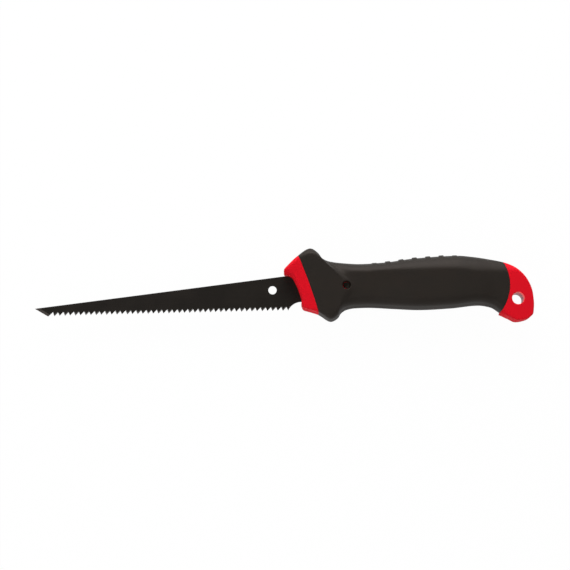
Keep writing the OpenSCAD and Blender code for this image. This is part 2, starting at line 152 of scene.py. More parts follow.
class NodeSheet:
    """Adds nodes to a shader tree or a geometry tree."""

    # Places of the colour sockets on a Mix node
    MIX_A = 6
    MIX_B = 7
    MIX_OUT = 2
    # Turn of the normal, as 1 less its cosine, at which an edge starts to show and shows in full
    EDGE_TURN = (0.02, 0.25)

    def __init__(self, tree: bpy.types.NodeTree) -> None:
        """Keeps the tree that the nodes go to."""
        self.tree = tree

    def node(self, kind: str, settings: dict[str, Any], inputs: dict[Any, Any]) -> bpy.types.Node:
        """Adds one node.

        Args:
            kind: The node's type.
            settings: Its properties, which are set first.
            inputs: Values or links for its sockets, by name or by place.

        Returns:
            The node.
        """
        made = self.tree.nodes.new(kind)
        for name, value in settings.items():
            setattr(made, name, value)
        for key, value in inputs.items():
            self.fill(made.inputs[key], value)
        return made

    def fill(self, socket: bpy.types.NodeSocket, value: Any) -> None:
        """Sets a socket to a value, or links it where the value is a Term or a socket.

        Args:
            socket: The socket.
            value: A plain value, a Term or a socket of the same tree.
        """
        if isinstance(value, Term):
            value = value.socket
        if isinstance(value, bpy.types.NodeSocket):
            self.tree.links.new(value, socket)
        elif isinstance(value, tuple) and socket.type == "RGBA":
            socket.default_value = (*value[:3], 1.0)
        else:
            socket.default_value = value

    def term(self, kind: str, settings: dict[str, Any], inputs: dict[Any, Any], out: Any = 0) -> Term:
        """Adds one node and returns one of its outputs as a Term."""
        return Term(self, self.node(kind, settings, inputs).outputs[out])

    def mix(self, factor: Any, a: Any, b: Any) -> bpy.types.NodeSocket:
        """A colour between a and b.

        Args:
            factor: 0 gives a and 1 gives b.
            a: A colour or a colour socket.
            b: A colour or a colour socket.

        Returns:
            The colour's socket.
        """
        inputs = {0: factor, self.MIX_A: a, self.MIX_B: b}
        return self.node("ShaderNodeMix", {"data_type": "RGBA"}, inputs).outputs[self.MIX_OUT]

    def place(self) -> bpy.types.NodeSocket:
        """The point's place in Object coordinates."""
        return self.node("ShaderNodeTexCoord", {}, {}).outputs["Object"]

    def mark(self, attribute: str) -> Term:
        """A number that the mesh carries as an attribute."""
        return self.term("ShaderNodeAttribute", {"attribute_name": attribute}, {}, "Fac")

    def noise(self, cells: Cells, detail: float = 3.0) -> Term:
        """Noise over Object coordinates.

        Args:
            cells: How close the pattern is along each axis.
            detail: How many finer layers it has.

        Returns:
            The noise, from 0 to 1.
        """
        inputs = {"Vector": self.place(), "Scale": cells}
        scaled = self.node("ShaderNodeMapping", {"vector_type": "POINT"}, inputs).outputs["Vector"]
        inputs = {"Vector": scaled, "Scale": 1.0, "Detail": detail, "Roughness": 0.55}
        return self.term("ShaderNodeTexNoise", {"noise_dimensions": "3D"}, inputs, "Fac")

    def edges(self, width: float) -> Term:
        """How sharply the surface turns near a point.

        Args:
            width: How far from the point the surface is looked at, in metres.

        Returns:
            0 on a flat, towards 1 on an edge.
        """
        rounded = self.node("ShaderNodeBevel", {"samples": 4}, {"Radius": width}).outputs["Normal"]
        flat = self.node("ShaderNodeNewGeometry", {}, {}).outputs["Normal"]
        inputs = {0: rounded, 1: flat}
        turned = self.term("ShaderNodeVectorMath", {"operation": "DOT_PRODUCT"}, inputs, "Value")
        return (1.0 - turned).ease(*self.EDGE_TURN)


# ---- Finishes ----


def toned(colour: Colour, factor: float) -> Colour:
    """A colour made lighter or darker by a factor."""
    return tuple(c * factor for c in colour)


@dataclass(frozen=True)
class Finish:
    """What every finish has: a name, a colour, a gloss and the tint of its gloss."""

    name: str
    colour: Colour
    roughness: float
    specular: float
    gleam: Colour = (1.0, 1.0, 1.0)

    def start(self) -> tuple[bpy.types.Material, NodeSheet, bpy.types.Node]:
        """Makes the material with its constant values set on the shader's own sockets.

        Returns:
            The material, the builder of its tree and its Principled shader.
        """
        material = bpy.data.materials.new(self.name)
        material.use_nodes = True
        material.diffuse_color = (*self.colour, 1.0)
        sheet = NodeSheet(material.node_tree)
        shader = material.node_tree.nodes["Principled BSDF"]
        shader.inputs["Specular IOR Level"].default_value = self.specular
        shader.inputs["Specular Tint"].default_value = (*self.gleam, 1.0)
        return material, sheet, shader

    def relief(self, sheet: NodeSheet, shader: bpy.types.Node, height: Any, depth: float) -> None:
        """Adds a fine relief to the surface.

        Args:
            sheet: The builder of the material's tree.
            shader: The material's shader.
            height: The relief's pattern, from 0 to 1.
            depth: Its depth in metres.
        """
        inputs = {"Height": height, "Distance": depth, "Strength": 1.0}
        bump = sheet.node("ShaderNodeBump", {}, inputs)
        sheet.fill(shader.inputs["Normal"], bump.outputs["Normal"])


@dataclass(frozen=True)
class CoatedSteel(Finish):
    """Black coated plate with ground facets where the bare steel shows."""

    bare: Colour = (0.045, 0.038, 0.034)
    bare_roughness: float = 0.34
    bare_metal: float = 0.85
    worn: Colour = (0.075, 0.068, 0.062)
    wear_width: float = 0.00025
    cloud_cells: Cells = (90.0, 90.0, 90.0)
    streak_cells: Cells = (60.0, 4200.0, 2600.0)
    streak_depth: float = 0.000006

    def material(self) -> bpy.types.Material:
        """Builds the material. The face attribute "ground" marks the bare facets.

        Returns:
            The material.
        """
        material, sheet, shader = self.start()
        ground = sheet.mark("ground")
        cloud = sheet.noise(self.cloud_cells)
        streak = sheet.noise(self.streak_cells, 2.0)
        wear = sheet.edges(self.wear_width) * cloud.ease(0.35, 0.75)
        coat = sheet.mix(cloud.ease(0.3, 0.8), self.colour, toned(self.colour, 1.35))
        coat = sheet.mix(wear * 0.6, coat, self.worn)
        steel = sheet.mix(streak.ease(0.2, 0.8), toned(self.bare, 0.7), self.bare)
        sheet.fill(shader.inputs["Base Color"], sheet.mix(ground, coat, steel))
        sheet.fill(shader.inputs["Metallic"], ground * self.bare_metal)
        coat_gloss = self.roughness + 0.14 * streak - 0.05
        sheet.fill(shader.inputs["Roughness"], coat_gloss * (1.0 - ground) + self.bare_roughness * ground)
        self.relief(sheet, shader, streak, self.streak_depth)
        return material


@dataclass(frozen=True)
class GlossPlastic(Finish):
    """Hard moulded plastic with a faint flow pattern, fine scuffs and painted light on the hang hole's wall.
    """

    bore_roughness: float = 0.3
    # Painted light: the lighter, pinker red of the hang hole's wall, standing for light that comes up
    # through the hole
    bore_painted_light: Colour = (1.0, 0.09, 0.08)
    flow_cells: Cells = (38.0, 60.0, 60.0)
    skin_cells: Cells = (900.0, 900.0, 900.0)
    scuff_cells: Cells = (260.0, 3400.0, 900.0)
    skin_depth: float = 0.000012

    def material(self) -> bpy.types.Material:
        """Builds the material. A face attribute marks the hang hole's wall, which is smoother and carries
        painted light: a lighter, pinker red that stands for light coming up through the hole.

        Returns:
            The material.
        """
        material, sheet, shader = self.start()
        cored = sheet.mark("cored")
        flow = sheet.noise(self.flow_cells)
        skin = sheet.noise(self.skin_cells, 2.0)
        scuff = sheet.noise(self.scuff_cells, 4.0).ease(0.6, 0.78)
        skin_colour = sheet.mix(flow.ease(0.3, 0.7), toned(self.colour, 0.93), self.colour)
        # The hang hole's wall takes the painted light colour; its lower roughness is the wall's own
        # smoothness
        sheet.fill(shader.inputs["Base Color"], sheet.mix(cored, skin_colour, self.bore_painted_light))
        gloss = self.roughness + 0.06 * skin + 0.10 * scuff
        sheet.fill(shader.inputs["Roughness"], gloss * (1.0 - cored) + self.bore_roughness * cored)
        self.relief(sheet, shader, skin, self.skin_depth)
        return material


@dataclass(frozen=True)
class SoftRubber(Finish):
    """Soft moulded rubber with a fine grain and rubbed high spots."""

    rubbed: Colour = (0.045, 0.040, 0.036)
    rub_width: float = 0.0005
    warmth: Colour = (1.12, 1.05, 1.0)
    cloud_cells: Cells = (70.0, 110.0, 110.0)
    grain_cells: Cells = (3600.0, 3600.0, 3600.0)
    grain_depth: float = 0.00003

    def material(self) -> bpy.types.Material:
        """Builds the material.

        Returns:
            The material.
        """
        material, sheet, shader = self.start()
        cloud = sheet.noise(self.cloud_cells)
        grain = sheet.noise(self.grain_cells, 2.0)
        rub = sheet.edges(self.rub_width) * cloud.ease(0.3, 0.7)
        warm = tuple(c * k for c, k in zip(self.colour, self.warmth))
        base = sheet.mix(cloud.ease(0.3, 0.75), self.colour, warm)
        sheet.fill(shader.inputs["Base Color"], sheet.mix(rub * 0.5, base, self.rubbed))
        sheet.fill(shader.inputs["Roughness"], self.roughness + 0.10 * grain - 0.08 * rub)
        self.relief(sheet, shader, grain, self.grain_depth)
        return material


@dataclass(frozen=True)
class TurnedSteel(Finish):
    """Blackened pin with fine turning rings round its own axis."""

    centre: tuple[float, float, float] = (0.0, 0.0, 0.0)
    metal: float = 0.6
    ring_pitch: float = 0.00018
    ring_depth: float = 0.00001

    def material(self) -> bpy.types.Material:
        """Builds the material.

        Returns:
            The material.
        """
        material, sheet, shader = self.start()
        inputs = {0: sheet.place(), 1: self.centre}
        offset = sheet.node("ShaderNodeVectorMath", {"operation": "SUBTRACT"}, inputs).outputs[0]
        flat = sheet.node("ShaderNodeVectorMath", {"operation": "MULTIPLY"}, {0: offset, 1: (1, 1, 0)})
        radius = sheet.term("ShaderNodeVectorMath", {"operation": "LENGTH"}, {0: flat.outputs[0]}, "Value")
        ring = (radius / self.ring_pitch) % 1.0
        sheet.fill(shader.inputs["Base Color"], sheet.mix(ring, self.colour, toned(self.colour, 1.6)))
        sheet.fill(shader.inputs["Roughness"], self.roughness + 0.1 * ring)
        shader.inputs["Metallic"].default_value = self.metal
        self.relief(sheet, shader, ring, self.ring_depth)
        return material


@dataclass(frozen=True)
class StudioPaper:
    """White paper sweep: the eye sees it white, and it still takes a soft shadow."""

    name: str = "studio_paper"
    colour: Colour = (0.86, 0.86, 0.86)
    lit_share: float = 0.98
    glossy_share: float = 0.6

    def material(self) -> bpy.types.Material:
        """Builds the material.

        Returns:
            The material.
        """
        material = bpy.data.materials.new(self.name)
        material.use_nodes = True
        sheet = NodeSheet(material.node_tree)
        tree = material.node_tree
        shader = tree.nodes["Principled BSDF"]
        tint = sheet.noise((3.0, 3.0, 3.0)).ease(0.2, 0.8)
        lighter = tuple(c + 0.02 for c in self.colour)
        sheet.fill(shader.inputs["Base Color"], sheet.mix(tint, self.colour, lighter))
        shader.inputs["Roughness"].default_value = 0.9
        shader.inputs["Specular IOR Level"].default_value = 0.1
        path = sheet.node("ShaderNodeLightPath", {}, {})
        seen = Term(sheet, path.outputs["Is Camera Ray"])
        seen = seen.most(Term(sheet, path.outputs["Is Glossy Ray"]) * self.glossy_share)
        seen = seen.most(Term(sheet, path.outputs["Is Transmission Ray"]))
        glow = sheet.node("ShaderNodeEmission", {}, {"Color": (1.0, 1.0, 1.0), "Strength": 1.0})
        inputs = {0: seen * self.lit_share, 1: shader.outputs["BSDF"], 2: glow.outputs["Emission"]}
        blend = sheet.node("ShaderNodeMixShader", {}, inputs)
        sheet.fill(tree.nodes["Material Output"].inputs["Surface"], blend.outputs["Shader"])
        return material


# ---- Curves and meshes ----


class Track:
    """A smooth curve through values at whole stations, which never overshoots them."""

    def __init__(self, values: Sequence[float], spans: Sequence[float]) -> None:
        """Works out the slopes.

        Args:
            values: The value at each station.
            spans: The distance from each station to the next.
        """
        self.values = np.asarray(values, float)
        self.spans = np.asarray(spans, float)
        rise = np.diff(self.values) / self.spans
        slopes = np.concatenate([rise[:1], np.zeros(len(rise) - 1), rise[-1:]])
        for i in range(1, len(rise)):
            before, after = rise[i - 1], rise[i]
            if before * after > 0:
                h0, h1 = self.spans[i - 1], self.spans[i]
                slopes[i] = 3 * (h0 + h1) / ((2 * h1 + h0) / before + (h1 + 2 * h0) / after)
        self.slopes = slopes

    def at(self, station: Any) -> Any:
        """The curve's value.

        Args:
            station: A station or an array of them, which may lie between whole ones.

        Returns:
            The value, or an array of values.
        """
        u = np.asarray(station, float)
        i = np.clip(np.floor(u).astype(int), 0, len(self.spans) - 1)
        t = u - i
        h = self.spans[i]
        return (
            (2 * t**3 - 3 * t**2 + 1) * self.values[i]
            + (t**3 - 2 * t**2 + t) * h * self.slopes[i]
            + (3 * t**2 - 2 * t**3) * self.values[i + 1]
            + (t**3 - t**2) * h * self.slopes[i + 1]
        )


@dataclass(frozen=True)
class Placing:
    """Where the handle's own frame lies: x from the collar's front, y and z from the middle."""

    origin: Vector

    def row(self, points: Any) -> np.ndarray:
        """Turns points in the handle's frame, in millimetres, into row points in metres."""
        return np.asarray(points, float) * MM + np.array(self.origin)

    def layer(self, loop: Sequence[Point], z: float) -> np.ndarray:
        """Turns a flat loop at height z in the handle's frame into row points in metres."""
        return self.row([(x, y, z) for x, y in loop])

    def local(self, point: Sequence[float]) -> Vector:
        """Turns one row point in metres into the handle's frame, in millimetres."""
        return (Vector(point) - self.origin) / MM


class MeshWork:
    """Makes finished objects from points and faces."""

    # Faces that meet at a sharper angle than this keep a crisp edge
    CREASE = math.radians(32)
    # A face whose normal is this close to upright lies level
    LEVEL = 0.99999
    # Turns of a rim's rounding at which its cutter has a ring
    RIM_TURNS = tuple(math.radians(a) for a in (0, 15, 30, 45, 60, 72, 82))
    # How far a rim's lip stands over the skin, as a share of the rounding
    LIP_OVER = 0.02
    # Half length of a hole's cutter in metres, well past both sides of every piece
    FAR = 0.1

    @staticmethod
    def solid(name: str, points: np.ndarray, faces: Sequence[Sequence[int]]) -> bpy.types.Object:
        """Makes an object with every face turned outwards.

        Args:
            name: The object's name.
            points: Its points, in metres.
            faces: The numbers of each face's points.

        Returns:
            The object.
        """
        mesh = bpy.data.meshes.new(name)
        mesh.from_pydata(points.tolist(), [], [list(f) for f in faces])
        bm = bmesh.new()
        bm.from_mesh(mesh)
        bmesh.ops.remove_doubles(bm, verts=bm.verts, dist=1e-8)
        bmesh.ops.recalc_face_normals(bm, faces=bm.faces)
        bm.to_mesh(mesh)
        bm.free()
        made = bpy.data.objects.new(name, mesh)
        bpy.context.scene.collection.objects.link(made)
        return made

    @staticmethod
    def settle(piece: bpy.types.Object) -> None:
        """Turns the modifiers' result into the object's own plain mesh.

        Args:
            piece: The object.
        """
        view = bpy.context.evaluated_depsgraph_get()
        plain = bpy.data.meshes.new_from_object(piece.evaluated_get(view))
        old = piece.data
        piece.modifiers.clear()
        piece.data = plain
        plain.name = piece.name
        bpy.data.meshes.remove(old)

    @classmethod
    def carve(cls, piece: bpy.types.Object, cutters: Sequence[bpy.types.Object]) -> None:
        """Cuts each cutter out of the piece, then removes the cutters.

        Args:
            piece: The piece.
            cutters: Closed objects.
        """
        for cutter in cutters:
            cut = piece.modifiers.new("cut", "BOOLEAN")
            cut.operation = "DIFFERENCE"
            cut.solver = "EXACT"
            cut.object = cutter
        cls.settle(piece)
        for cutter in cutters:
            cls.discard(cutter)

    @staticmethod
    def discard(helper: bpy.types.Object) -> None:
        """Removes a helper object with its mesh."""
        mesh = helper.data
        bpy.data.objects.remove(helper)
        bpy.data.meshes.remove(mesh)

    @classmethod
    def shade(cls, piece: bpy.types.Object, flat_sides: bool = False) -> None:
        """Shades the piece smooth, with crisp edges kept.

        Args:
            piece: The piece.
            flat_sides: Whether the faces that lie level are true flats.
        """
        piece.data.shade_smooth()
        piece.data.set_sharp_from_angle(angle=cls.CREASE)
        if flat_sides:
            for face in piece.data.polygons:
                face.use_smooth = abs(face.normal.z) < cls.LEVEL

    @staticmethod
    def sweep(rings: Sequence[np.ndarray], closed: bool) -> list[tuple[int, ...]]:
        """Quads between neighbouring rings of equal length.

        Args:
            rings: The rings.
            closed: Whether the last ring joins the first.

        Returns:
            The faces.
        """
        size = len(rings[0])
        count = len(rings)
        faces = []
        for a in range(count if closed else count - 1):
            b = (a + 1) % count
            for k in range(size):
                n = (k + 1) % size
                faces.append((a * size + k, a * size + n, b * size + n, b * size + k))
        return faces

    @staticmethod
    def lid(ring: int, size: int) -> list[tuple[int, ...]]:
        """Strips across the thickness that close a ring which mirrors itself in z.

        Args:
            ring: The ring's number.
            size: How many points a ring has.

        Returns:
            The faces.
        """
        base = ring * size
        faces: list[tuple[int, ...]] = [(base, base + 1, base + size - 1)]
        for k in range(1, size // 2 - 1):
            faces.append((base + k, base + k + 1, base + size - k - 1, base + size - k))
        half = size // 2
        faces.append((base + half - 1, base + half, base + half + 1))
        return faces

    @classmethod
    def stack(cls, name: str, rings: Sequence[np.ndarray]) -> bpy.types.Object:
        """A solid from a stack of rings, closed by one face at each end.

        Args:
            name: The object's name.
            rings: Rings of equal length, in metres.

        Returns:
            The object.
        """
        size = len(rings[0])
        last = (len(rings) - 1) * size
        faces = cls.sweep(rings, closed=False)
        faces += [tuple(range(size)), tuple(range(last, last + size))]
        return cls.solid(name, np.vstack(rings), faces)

    @classmethod
    def turned(cls, name: str, centre: Vector, profile: Sequence[Point], steps: int) -> bpy.types.Object:
        """A solid of revolution about the z axis.

        Args:
            name: The object's name.
            centre: The axis' place, in metres.
            profile: Radius and height of each ring from the lower end up, in metres.
            steps: Number of sides.

        Returns:
            The object.
        """
        angles = np.linspace(0, 2 * math.pi, steps, endpoint=False)
        rings = [
            np.column_stack([r * np.cos(angles), r * np.sin(angles), np.full(steps, z)]) + np.array(centre)
            for r, z in profile
        ]
        return cls.stack(name, rings)

    @classmethod
    def rim(
        cls, skin: BVHTree, centre: Vector, radius: float, ease: float, side: int, spokes: np.ndarray
    ) -> list[np.ndarray]:
        """Rings of a hole's cutter, from the start of a rim's rounding to far over the skin.

        Args:
            skin: The skin that the rim follows.
            centre: A point on the hole's axis, in metres.
            radius: The hole's radius.
            ease: The radius of the rim's rounding.
            side: 1 for the upper rim and -1 for the lower one.
            spokes: Unit vectors towards the rings' points.

        Returns:
            The rings, from the inside outwards.
        """
        levels = []
        for x, y in spokes:
            above = centre + (radius + ease) * Vector((x, y, 0)) + Vector((0, 0, side * cls.FAR))
            levels.append(skin.ray_cast(above, Vector((0, 0, -side)))[0].z)
        rings = []
        for turn in cls.RIM_TURNS:
            out = radius + ease * (1 - math.cos(turn))
            height = np.array(levels) - side * ease * (1 - math.sin(turn))
            x, y = centre.x + out * spokes[:, 0], centre.y + out * spokes[:, 1]
            rings.append(np.column_stack([x, y, height]))
        lip = rings[-1].copy()
        lip[:, :2] += (lip[:, :2] - np.array(centre)[:2]) * (ease / radius)
        lip[:, 2] += side * ease / math.tan(cls.RIM_TURNS[-1]) + side * ease * cls.LIP_OVER
        end = lip.copy()
        end[:, 2] = centre.z + side * cls.FAR
        return [*rings, lip, end]

    @classmethod
    def eased_hole(
        cls,
        piece: bpy.types.Object,
        centre: Vector,
        radius: float,
        ease: float,
        steps: int = 72,
        waist: Point | None = None,
    ) -> bpy.types.Object:
        """A cutter for a hole right through a piece along z, with its rims rounded.

        Args:
            piece: The piece whose skin the rims follow.
            centre: A point on the hole's axis, in metres.
            radius: The hole's radius.
            ease: The radius of the rims' rounding.
            steps: Number of sides.
            waist: Radius and height above the centre to which the hole narrows.

        Returns:
            The cutter.
        """
        bm = bmesh.new()
        bm.from_mesh(piece.data)
        skin = BVHTree.FromBMesh(bm)
        bm.free()
        turns = [2 * math.pi * k / steps for k in range(steps)]
        spokes = np.array([(math.cos(a), math.sin(a)) for a in turns])
        halves = []
        for side in (-1, 1):
            rings = cls.rim(skin, centre, radius, ease, side, spokes)
            if waist:
                inner = np.column_stack([waist[0] * spokes, np.full(steps, side * waist[1])])
                rings.insert(0, inner + np.array(centre))
            halves.append(rings)
        lower, upper = halves
        return cls.stack("hole_cutter", lower[::-1] + upper)


# ---- The handle's form ----


@dataclass(frozen=True)
class HandleForm:
    """Outline, cross lines and thickness of the handle, in millimetres from the collar's front."""

    length: float = 148.5
    collar_l: float = 8.4
    butt_l: float = 18.4
    guard_lean: float = 12.7
    neck_lean: float = 6.3
    seam_lean: float = 1.3
    collar_nose: float = 0.8
    collar_top: float = 9.2
    collar_toe: float = 10.9
    collar_bottom: float = 14.6
    guard_x: float = 15.0
    guard_top: float = 22.0
    guard_bottom: float = 21.9
    neck_x: float = 44.0
    neck_top: float = 12.8
    neck_bottom: float = 13.7
    swell_x: float = 104.0
    swell_top: float = 17.85
    belly_x: float = 80.0
    belly_bottom: float = 15.0
    waist_x: float = 116.0
    waist_bottom: float = 12.35
    seam_top: float = 13.9
    seam_bottom: float = 16.9
    butt_low_x: float = 10.0
    butt_bottom: float = 21.9
    butt_end_y: float = 10.5
    butt_corner_h: float = 3.8
    butt_corner_x: float = 0.5
    butt_lip: float = 1.2
    scoop: float = 2.7
    collar_bow: float = 0.6
    guard_bow: float = 3.0
    guard_vee: float = 9.5
    neck_bow: float = 3.5
    seam_bow: float = 4.7
    collar_t: float = 21.6
    guard_t: float = 25.0
    neck_t: float = 22.0
    palm_t: float = 25.0
    butt_t: float = 20.0
    edge_r: float = 2.5
    bevel_w: float = 8.6
    belly_r: float = 6.0
    edge_bulge: float = 1.2
    skin_edge: float = 2.6
    skin_side: float = 2.4

    # Stations: where the soft grip begins, its guard's lobe, where it ends, and the handle's end
    SEAM_FRONT = 1
    GUARD = 2
    SEAM_REAR = 13
    LAST = 17
    # Times that a search halves its range
    HALVINGS = 30
    # Points of a ring: along the wall, round a corner, and over the flat side
    WALL_STEPS = 6
    CORNER_STEPS = 12
    FLAT_STEPS = 26
    # Bluntness of the bevel's corner and of a rounded edge: 2 is a circle, 1 a straight cut
    BEVEL_POWER = 1.5
    ROUND_POWER = 2.0
    # Passes that ease the line between wall and corner
    EASE_PASSES = 3
    # Half width and height of the parting line that the mould leaves
    FLASH_W = 0.12
    FLASH_H = 0.05
    # The corner's turn over which a rib fades out, in degrees
    RIB_FADE = 40.0
    # Least height of wall between the parting line and a corner
    LEAST_WALL = 1.0
    # Steps of the arc over which a rounded end draws in
    END_STEPS = 10
    # Distances from a seam at which its easing has a ring, and the ring before them, in its radii
    SEAM_STEPS = (0, 0.1, 0.3, 0.6, 1)
    SEAM_LEAD = 3
    # Part of a station between the rings of the hidden spine
    SPINE_STEP = 0.5
    # Shares of the collar's height, from the back down, and its front's depth there in scoops
    FRONT_SHARES = (0, 0.07, 0.09, 0.12, 0.175, 0.24, 0.4, 0.65, 0.8, 0.9, 1)
    FRONT_DEPTHS = (0, -0.34, -0.27, 0.15, 0.85, 1.06, 1.06, 0.83, 0.6, 0.14, 0)

    @staticmethod
    def mixed(a: float, b: float, share: float) -> float:
        """A share of the way from a to b."""
        return a + (b - a) * share

    @staticmethod
    def between(a: Point, b: Point, share: Point) -> Point:
        """A point a share of the way from a to b, with one share for x and one for y."""
        return (a[0] + (b[0] - a[0]) * share[0], a[1] + (b[1] - a[1]) * share[1])

    @cached_property
    def outline(self) -> tuple[np.ndarray, np.ndarray]:
        """The handle's outline at its stations.

        Returns:
            The back's points and the belly's points, one pair for each station.
        """
        flank = [(0.15, 0.255), (0.235, 0.59), (0.38, 0.81), (0.64, 0.935)]
        low_flank = [(0.18, 0.25), (0.255, 0.57), (0.39, 0.83), (0.62, 0.965)]
        nose = (-self.collar_nose, self.collar_top)
        rise = (self.guard_top - self.collar_top) * 0.652
        lobe = (self.guard_x, self.guard_top)
        neck = (self.neck_x, self.neck_top)
        swell = (self.swell_x, self.swell_top)
        seam = (self.length - self.butt_l, self.seam_top)
        end = (self.length, -self.butt_end_y)
        back = [nose, (self.collar_l - self.collar_nose, self.collar_top + rise), lobe]
        back += [self.between(lobe, neck, s) for s in flank] + [neck]
        back += [self.between(neck, swell, s) for s in [(0.245, 0.165), (0.57, 0.683)]] + [swell]
        back += [self.between(swell, seam, s) for s in [(0.33, 0.18), (0.69, 0.55)]] + [seam]
        back += [self.between(seam, end, s) for s in [(0.442, 0.157), (0.772, 0.407), (0.951, 0.713)]]
        back.append(end)
        toe = (self.collar_toe, -self.collar_bottom)
        low_lobe = (self.guard_x + self.guard_lean, -self.guard_bottom)
        low_neck = (self.neck_x + self.neck_lean, -self.neck_bottom)
        belly = (self.belly_x, -self.belly_bottom)
        waist = (self.waist_x, -self.waist_bottom)
        low_seam = (seam[0] - self.seam_lean, -self.seam_bottom)
        low = (self.length - self.butt_low_x, -self.butt_bottom)
        corner = (self.length - self.butt_corner_x, self.butt_corner_h - self.butt_bottom)
        under = [toe, self.between(toe, low_lobe, (0.55, 0.39)), low_lobe]
        under += [self.between(low_lobe, low_neck, s) for s in low_flank] + [low_neck]
        under += [self.between(low_neck, belly, (0.47, 0.5)), belly]
        under += [self.between(belly, waist, (0.53, 0.36)), waist]
        under += [self.between(waist, low_seam, (0.55, 0.25)), low_seam]
        under += [self.between(low_seam, low, (0.5, 0.6)), low]
        under += [self.between(low, corner, (0.64, 0.31)), corner]
        return np.array(back), np.array(under)

    @cached_property
    def spans(self) -> tuple[np.ndarray, np.ndarray]:
        """Distances between stations along the back and along the belly."""
        back, under = self.outline
        return np.linalg.norm(np.diff(back, axis=0), axis=1), np.linalg.norm(np.diff(under, axis=0), axis=1)

    @cached_property
    def tracks(self) -> dict[str, Track]:
        """Every size that varies along the handle.

        Returns:
            Smooth tracks over the stations, by name.
        """
        back, under = self.outline
        along_back, along_under = self.spans
        mixed = self.mixed
        thick = [self.collar_t, mixed(self.collar_t, self.guard_t, 0.67), self.guard_t, self.guard_t]
        thick += [mixed(self.guard_t, self.neck_t, 0.17), mixed(self.guard_t, self.neck_t, 0.8)]
        thick += [self.neck_t, self.neck_t, mixed(self.neck_t, self.palm_t, 0.5), self.palm_t, self.palm_t]
        thick += [mixed(self.palm_t, self.butt_t, 0.25), mixed(self.palm_t, self.butt_t, 0.83)]
        thick += [self.butt_t] * 5
        ends = np.array([1, 1] + [0] * 11 + [1] * 5)
        low_ends = np.array([0.36, 0.45] + [0] * 11 + [0.8, 0.36, 0.34, 0.34, 0.5])
        guard = np.array([0, 0, 1] + [0] * 15)
        collar = np.array([0, 1] + [0] * 16)
        neck = np.array([0] * 6 + [0.6, 1, 0.6] + [0] * 9)
        seam = np.array([0] * 11 + [0.3, 0.65, 1, 0.95, 0.65, 0.22, 0.03])
        vee = np.array([0, 0, 0.3, 1, 1, 0.95, 0.65, 0.2] + [0] * 10)
        width = [0, 0, 0.53, 0.7, 0.88, 1.05, 0.76, 0.66, 0.66, 0.9, 1.05, 1.1, 0.95, 0.45]
        width = np.array(width + [0] * 4)
        drop = [0, 0.18, 0.53, 0.57, 0.62, 0.62, 0.5, 0.5, 0.52, 0.66, 0.73, 0.7, 0.55, 0.12]
        drop = np.array(drop + [0] * 4)
        round_w = np.array([0, 0.1, 0.6, 0.7, 0.8, 0.9, 1, 1, 1, 1, 1, 1, 0.9, 0.2, 0, 0, 0, 0])
        crown = np.array([0.25, 0.35, 0.5, 0.7, 0.8, 1, 1, 1, 1, 1, 1, 1, 0.8, 0.5] + [0.25] * 4)
        bow = self.collar_bow * collar + self.guard_bow * guard + self.neck_bow * neck + self.seam_bow * seam
        return {
            "top_x": Track(back[:, 0], along_back),
            "top_y": Track(back[:, 1], along_back),
            "low_x": Track(under[:, 0], along_under),
            "low_y": Track(under[:, 1], along_under),
            "half": Track(np.array(thick) / 2, along_back),
            "bow": Track(bow, along_back),
            "vee": Track(self.guard_vee * vee, along_back),
            "back_w": Track(self.edge_r * ends + self.bevel_w * width, along_back),
            "back_drop": Track(self.edge_r * ends + self.bevel_w * drop, along_back),
            "belly_w": Track(self.edge_r * low_ends + self.belly_r * round_w, along_under),
            "crown": Track(self.edge_bulge * crown, along_back),
        }

    @cached_property
    def front(self) -> Track:
        """Profile of the collar's scooped front: depth in scoops, down the collar's height."""
        return Track(self.FRONT_DEPTHS, np.diff(self.FRONT_SHARES))

    def front_depth(self, v: np.ndarray) -> np.ndarray:
        """Share of the scoop's depth at shares v of the way from the back to the belly."""
        shares = self.FRONT_SHARES
        return self.front.at(np.interp(np.clip(v, 0, 1), shares, np.arange(len(shares))))

    def at(self, name: str, u: float) -> float:
        """The value of a track at station u."""
        return float(self.tracks[name].at(u))

    def station_at(self, x: float) -> float:
        """Finds a place behind the guard's lobe.

        Args:
            x: Distance from the collar's front.

        Returns:
            The station at which the back reaches it.
        """
        low, high = float(self.GUARD), float(self.LAST)
        for _ in range(self.HALVINGS):
            middle = (low + high) / 2
            if self.at("top_x", middle) < x:
                low = middle
            else:
                high = middle
        return low

    def edge(self, half: float, width: float, drop: float, bulge: float, power: float) -> np.ndarray:
        """A rounded edge from the parting line to the flat side.

        Args:
            half: Half thickness.
            width: Width of the corner.
            drop: Drop of the corner.
            bulge: How far the wall bulges at the parting line.
            power: Bluntness of the corner.

        Returns:
            Rows of depth and height.
        """
        drop = min(drop, half - self.LEAST_WALL)
        f = np.arange(self.WALL_STEPS) / self.WALL_STEPS
        wall = np.column_stack([bulge * f**2, f * (half - drop)])
        a = np.radians(90 * np.arange(self.CORNER_STEPS + 1) / self.CORNER_STEPS)
        cos, sin = np.clip(np.cos(a), 0, 1) ** (2 / power), np.sin(a) ** (2 / power)
        corner = np.column_stack([bulge + (width - bulge) * (1 - cos), half - drop + drop * sin])
        return np.vstack([wall, corner])

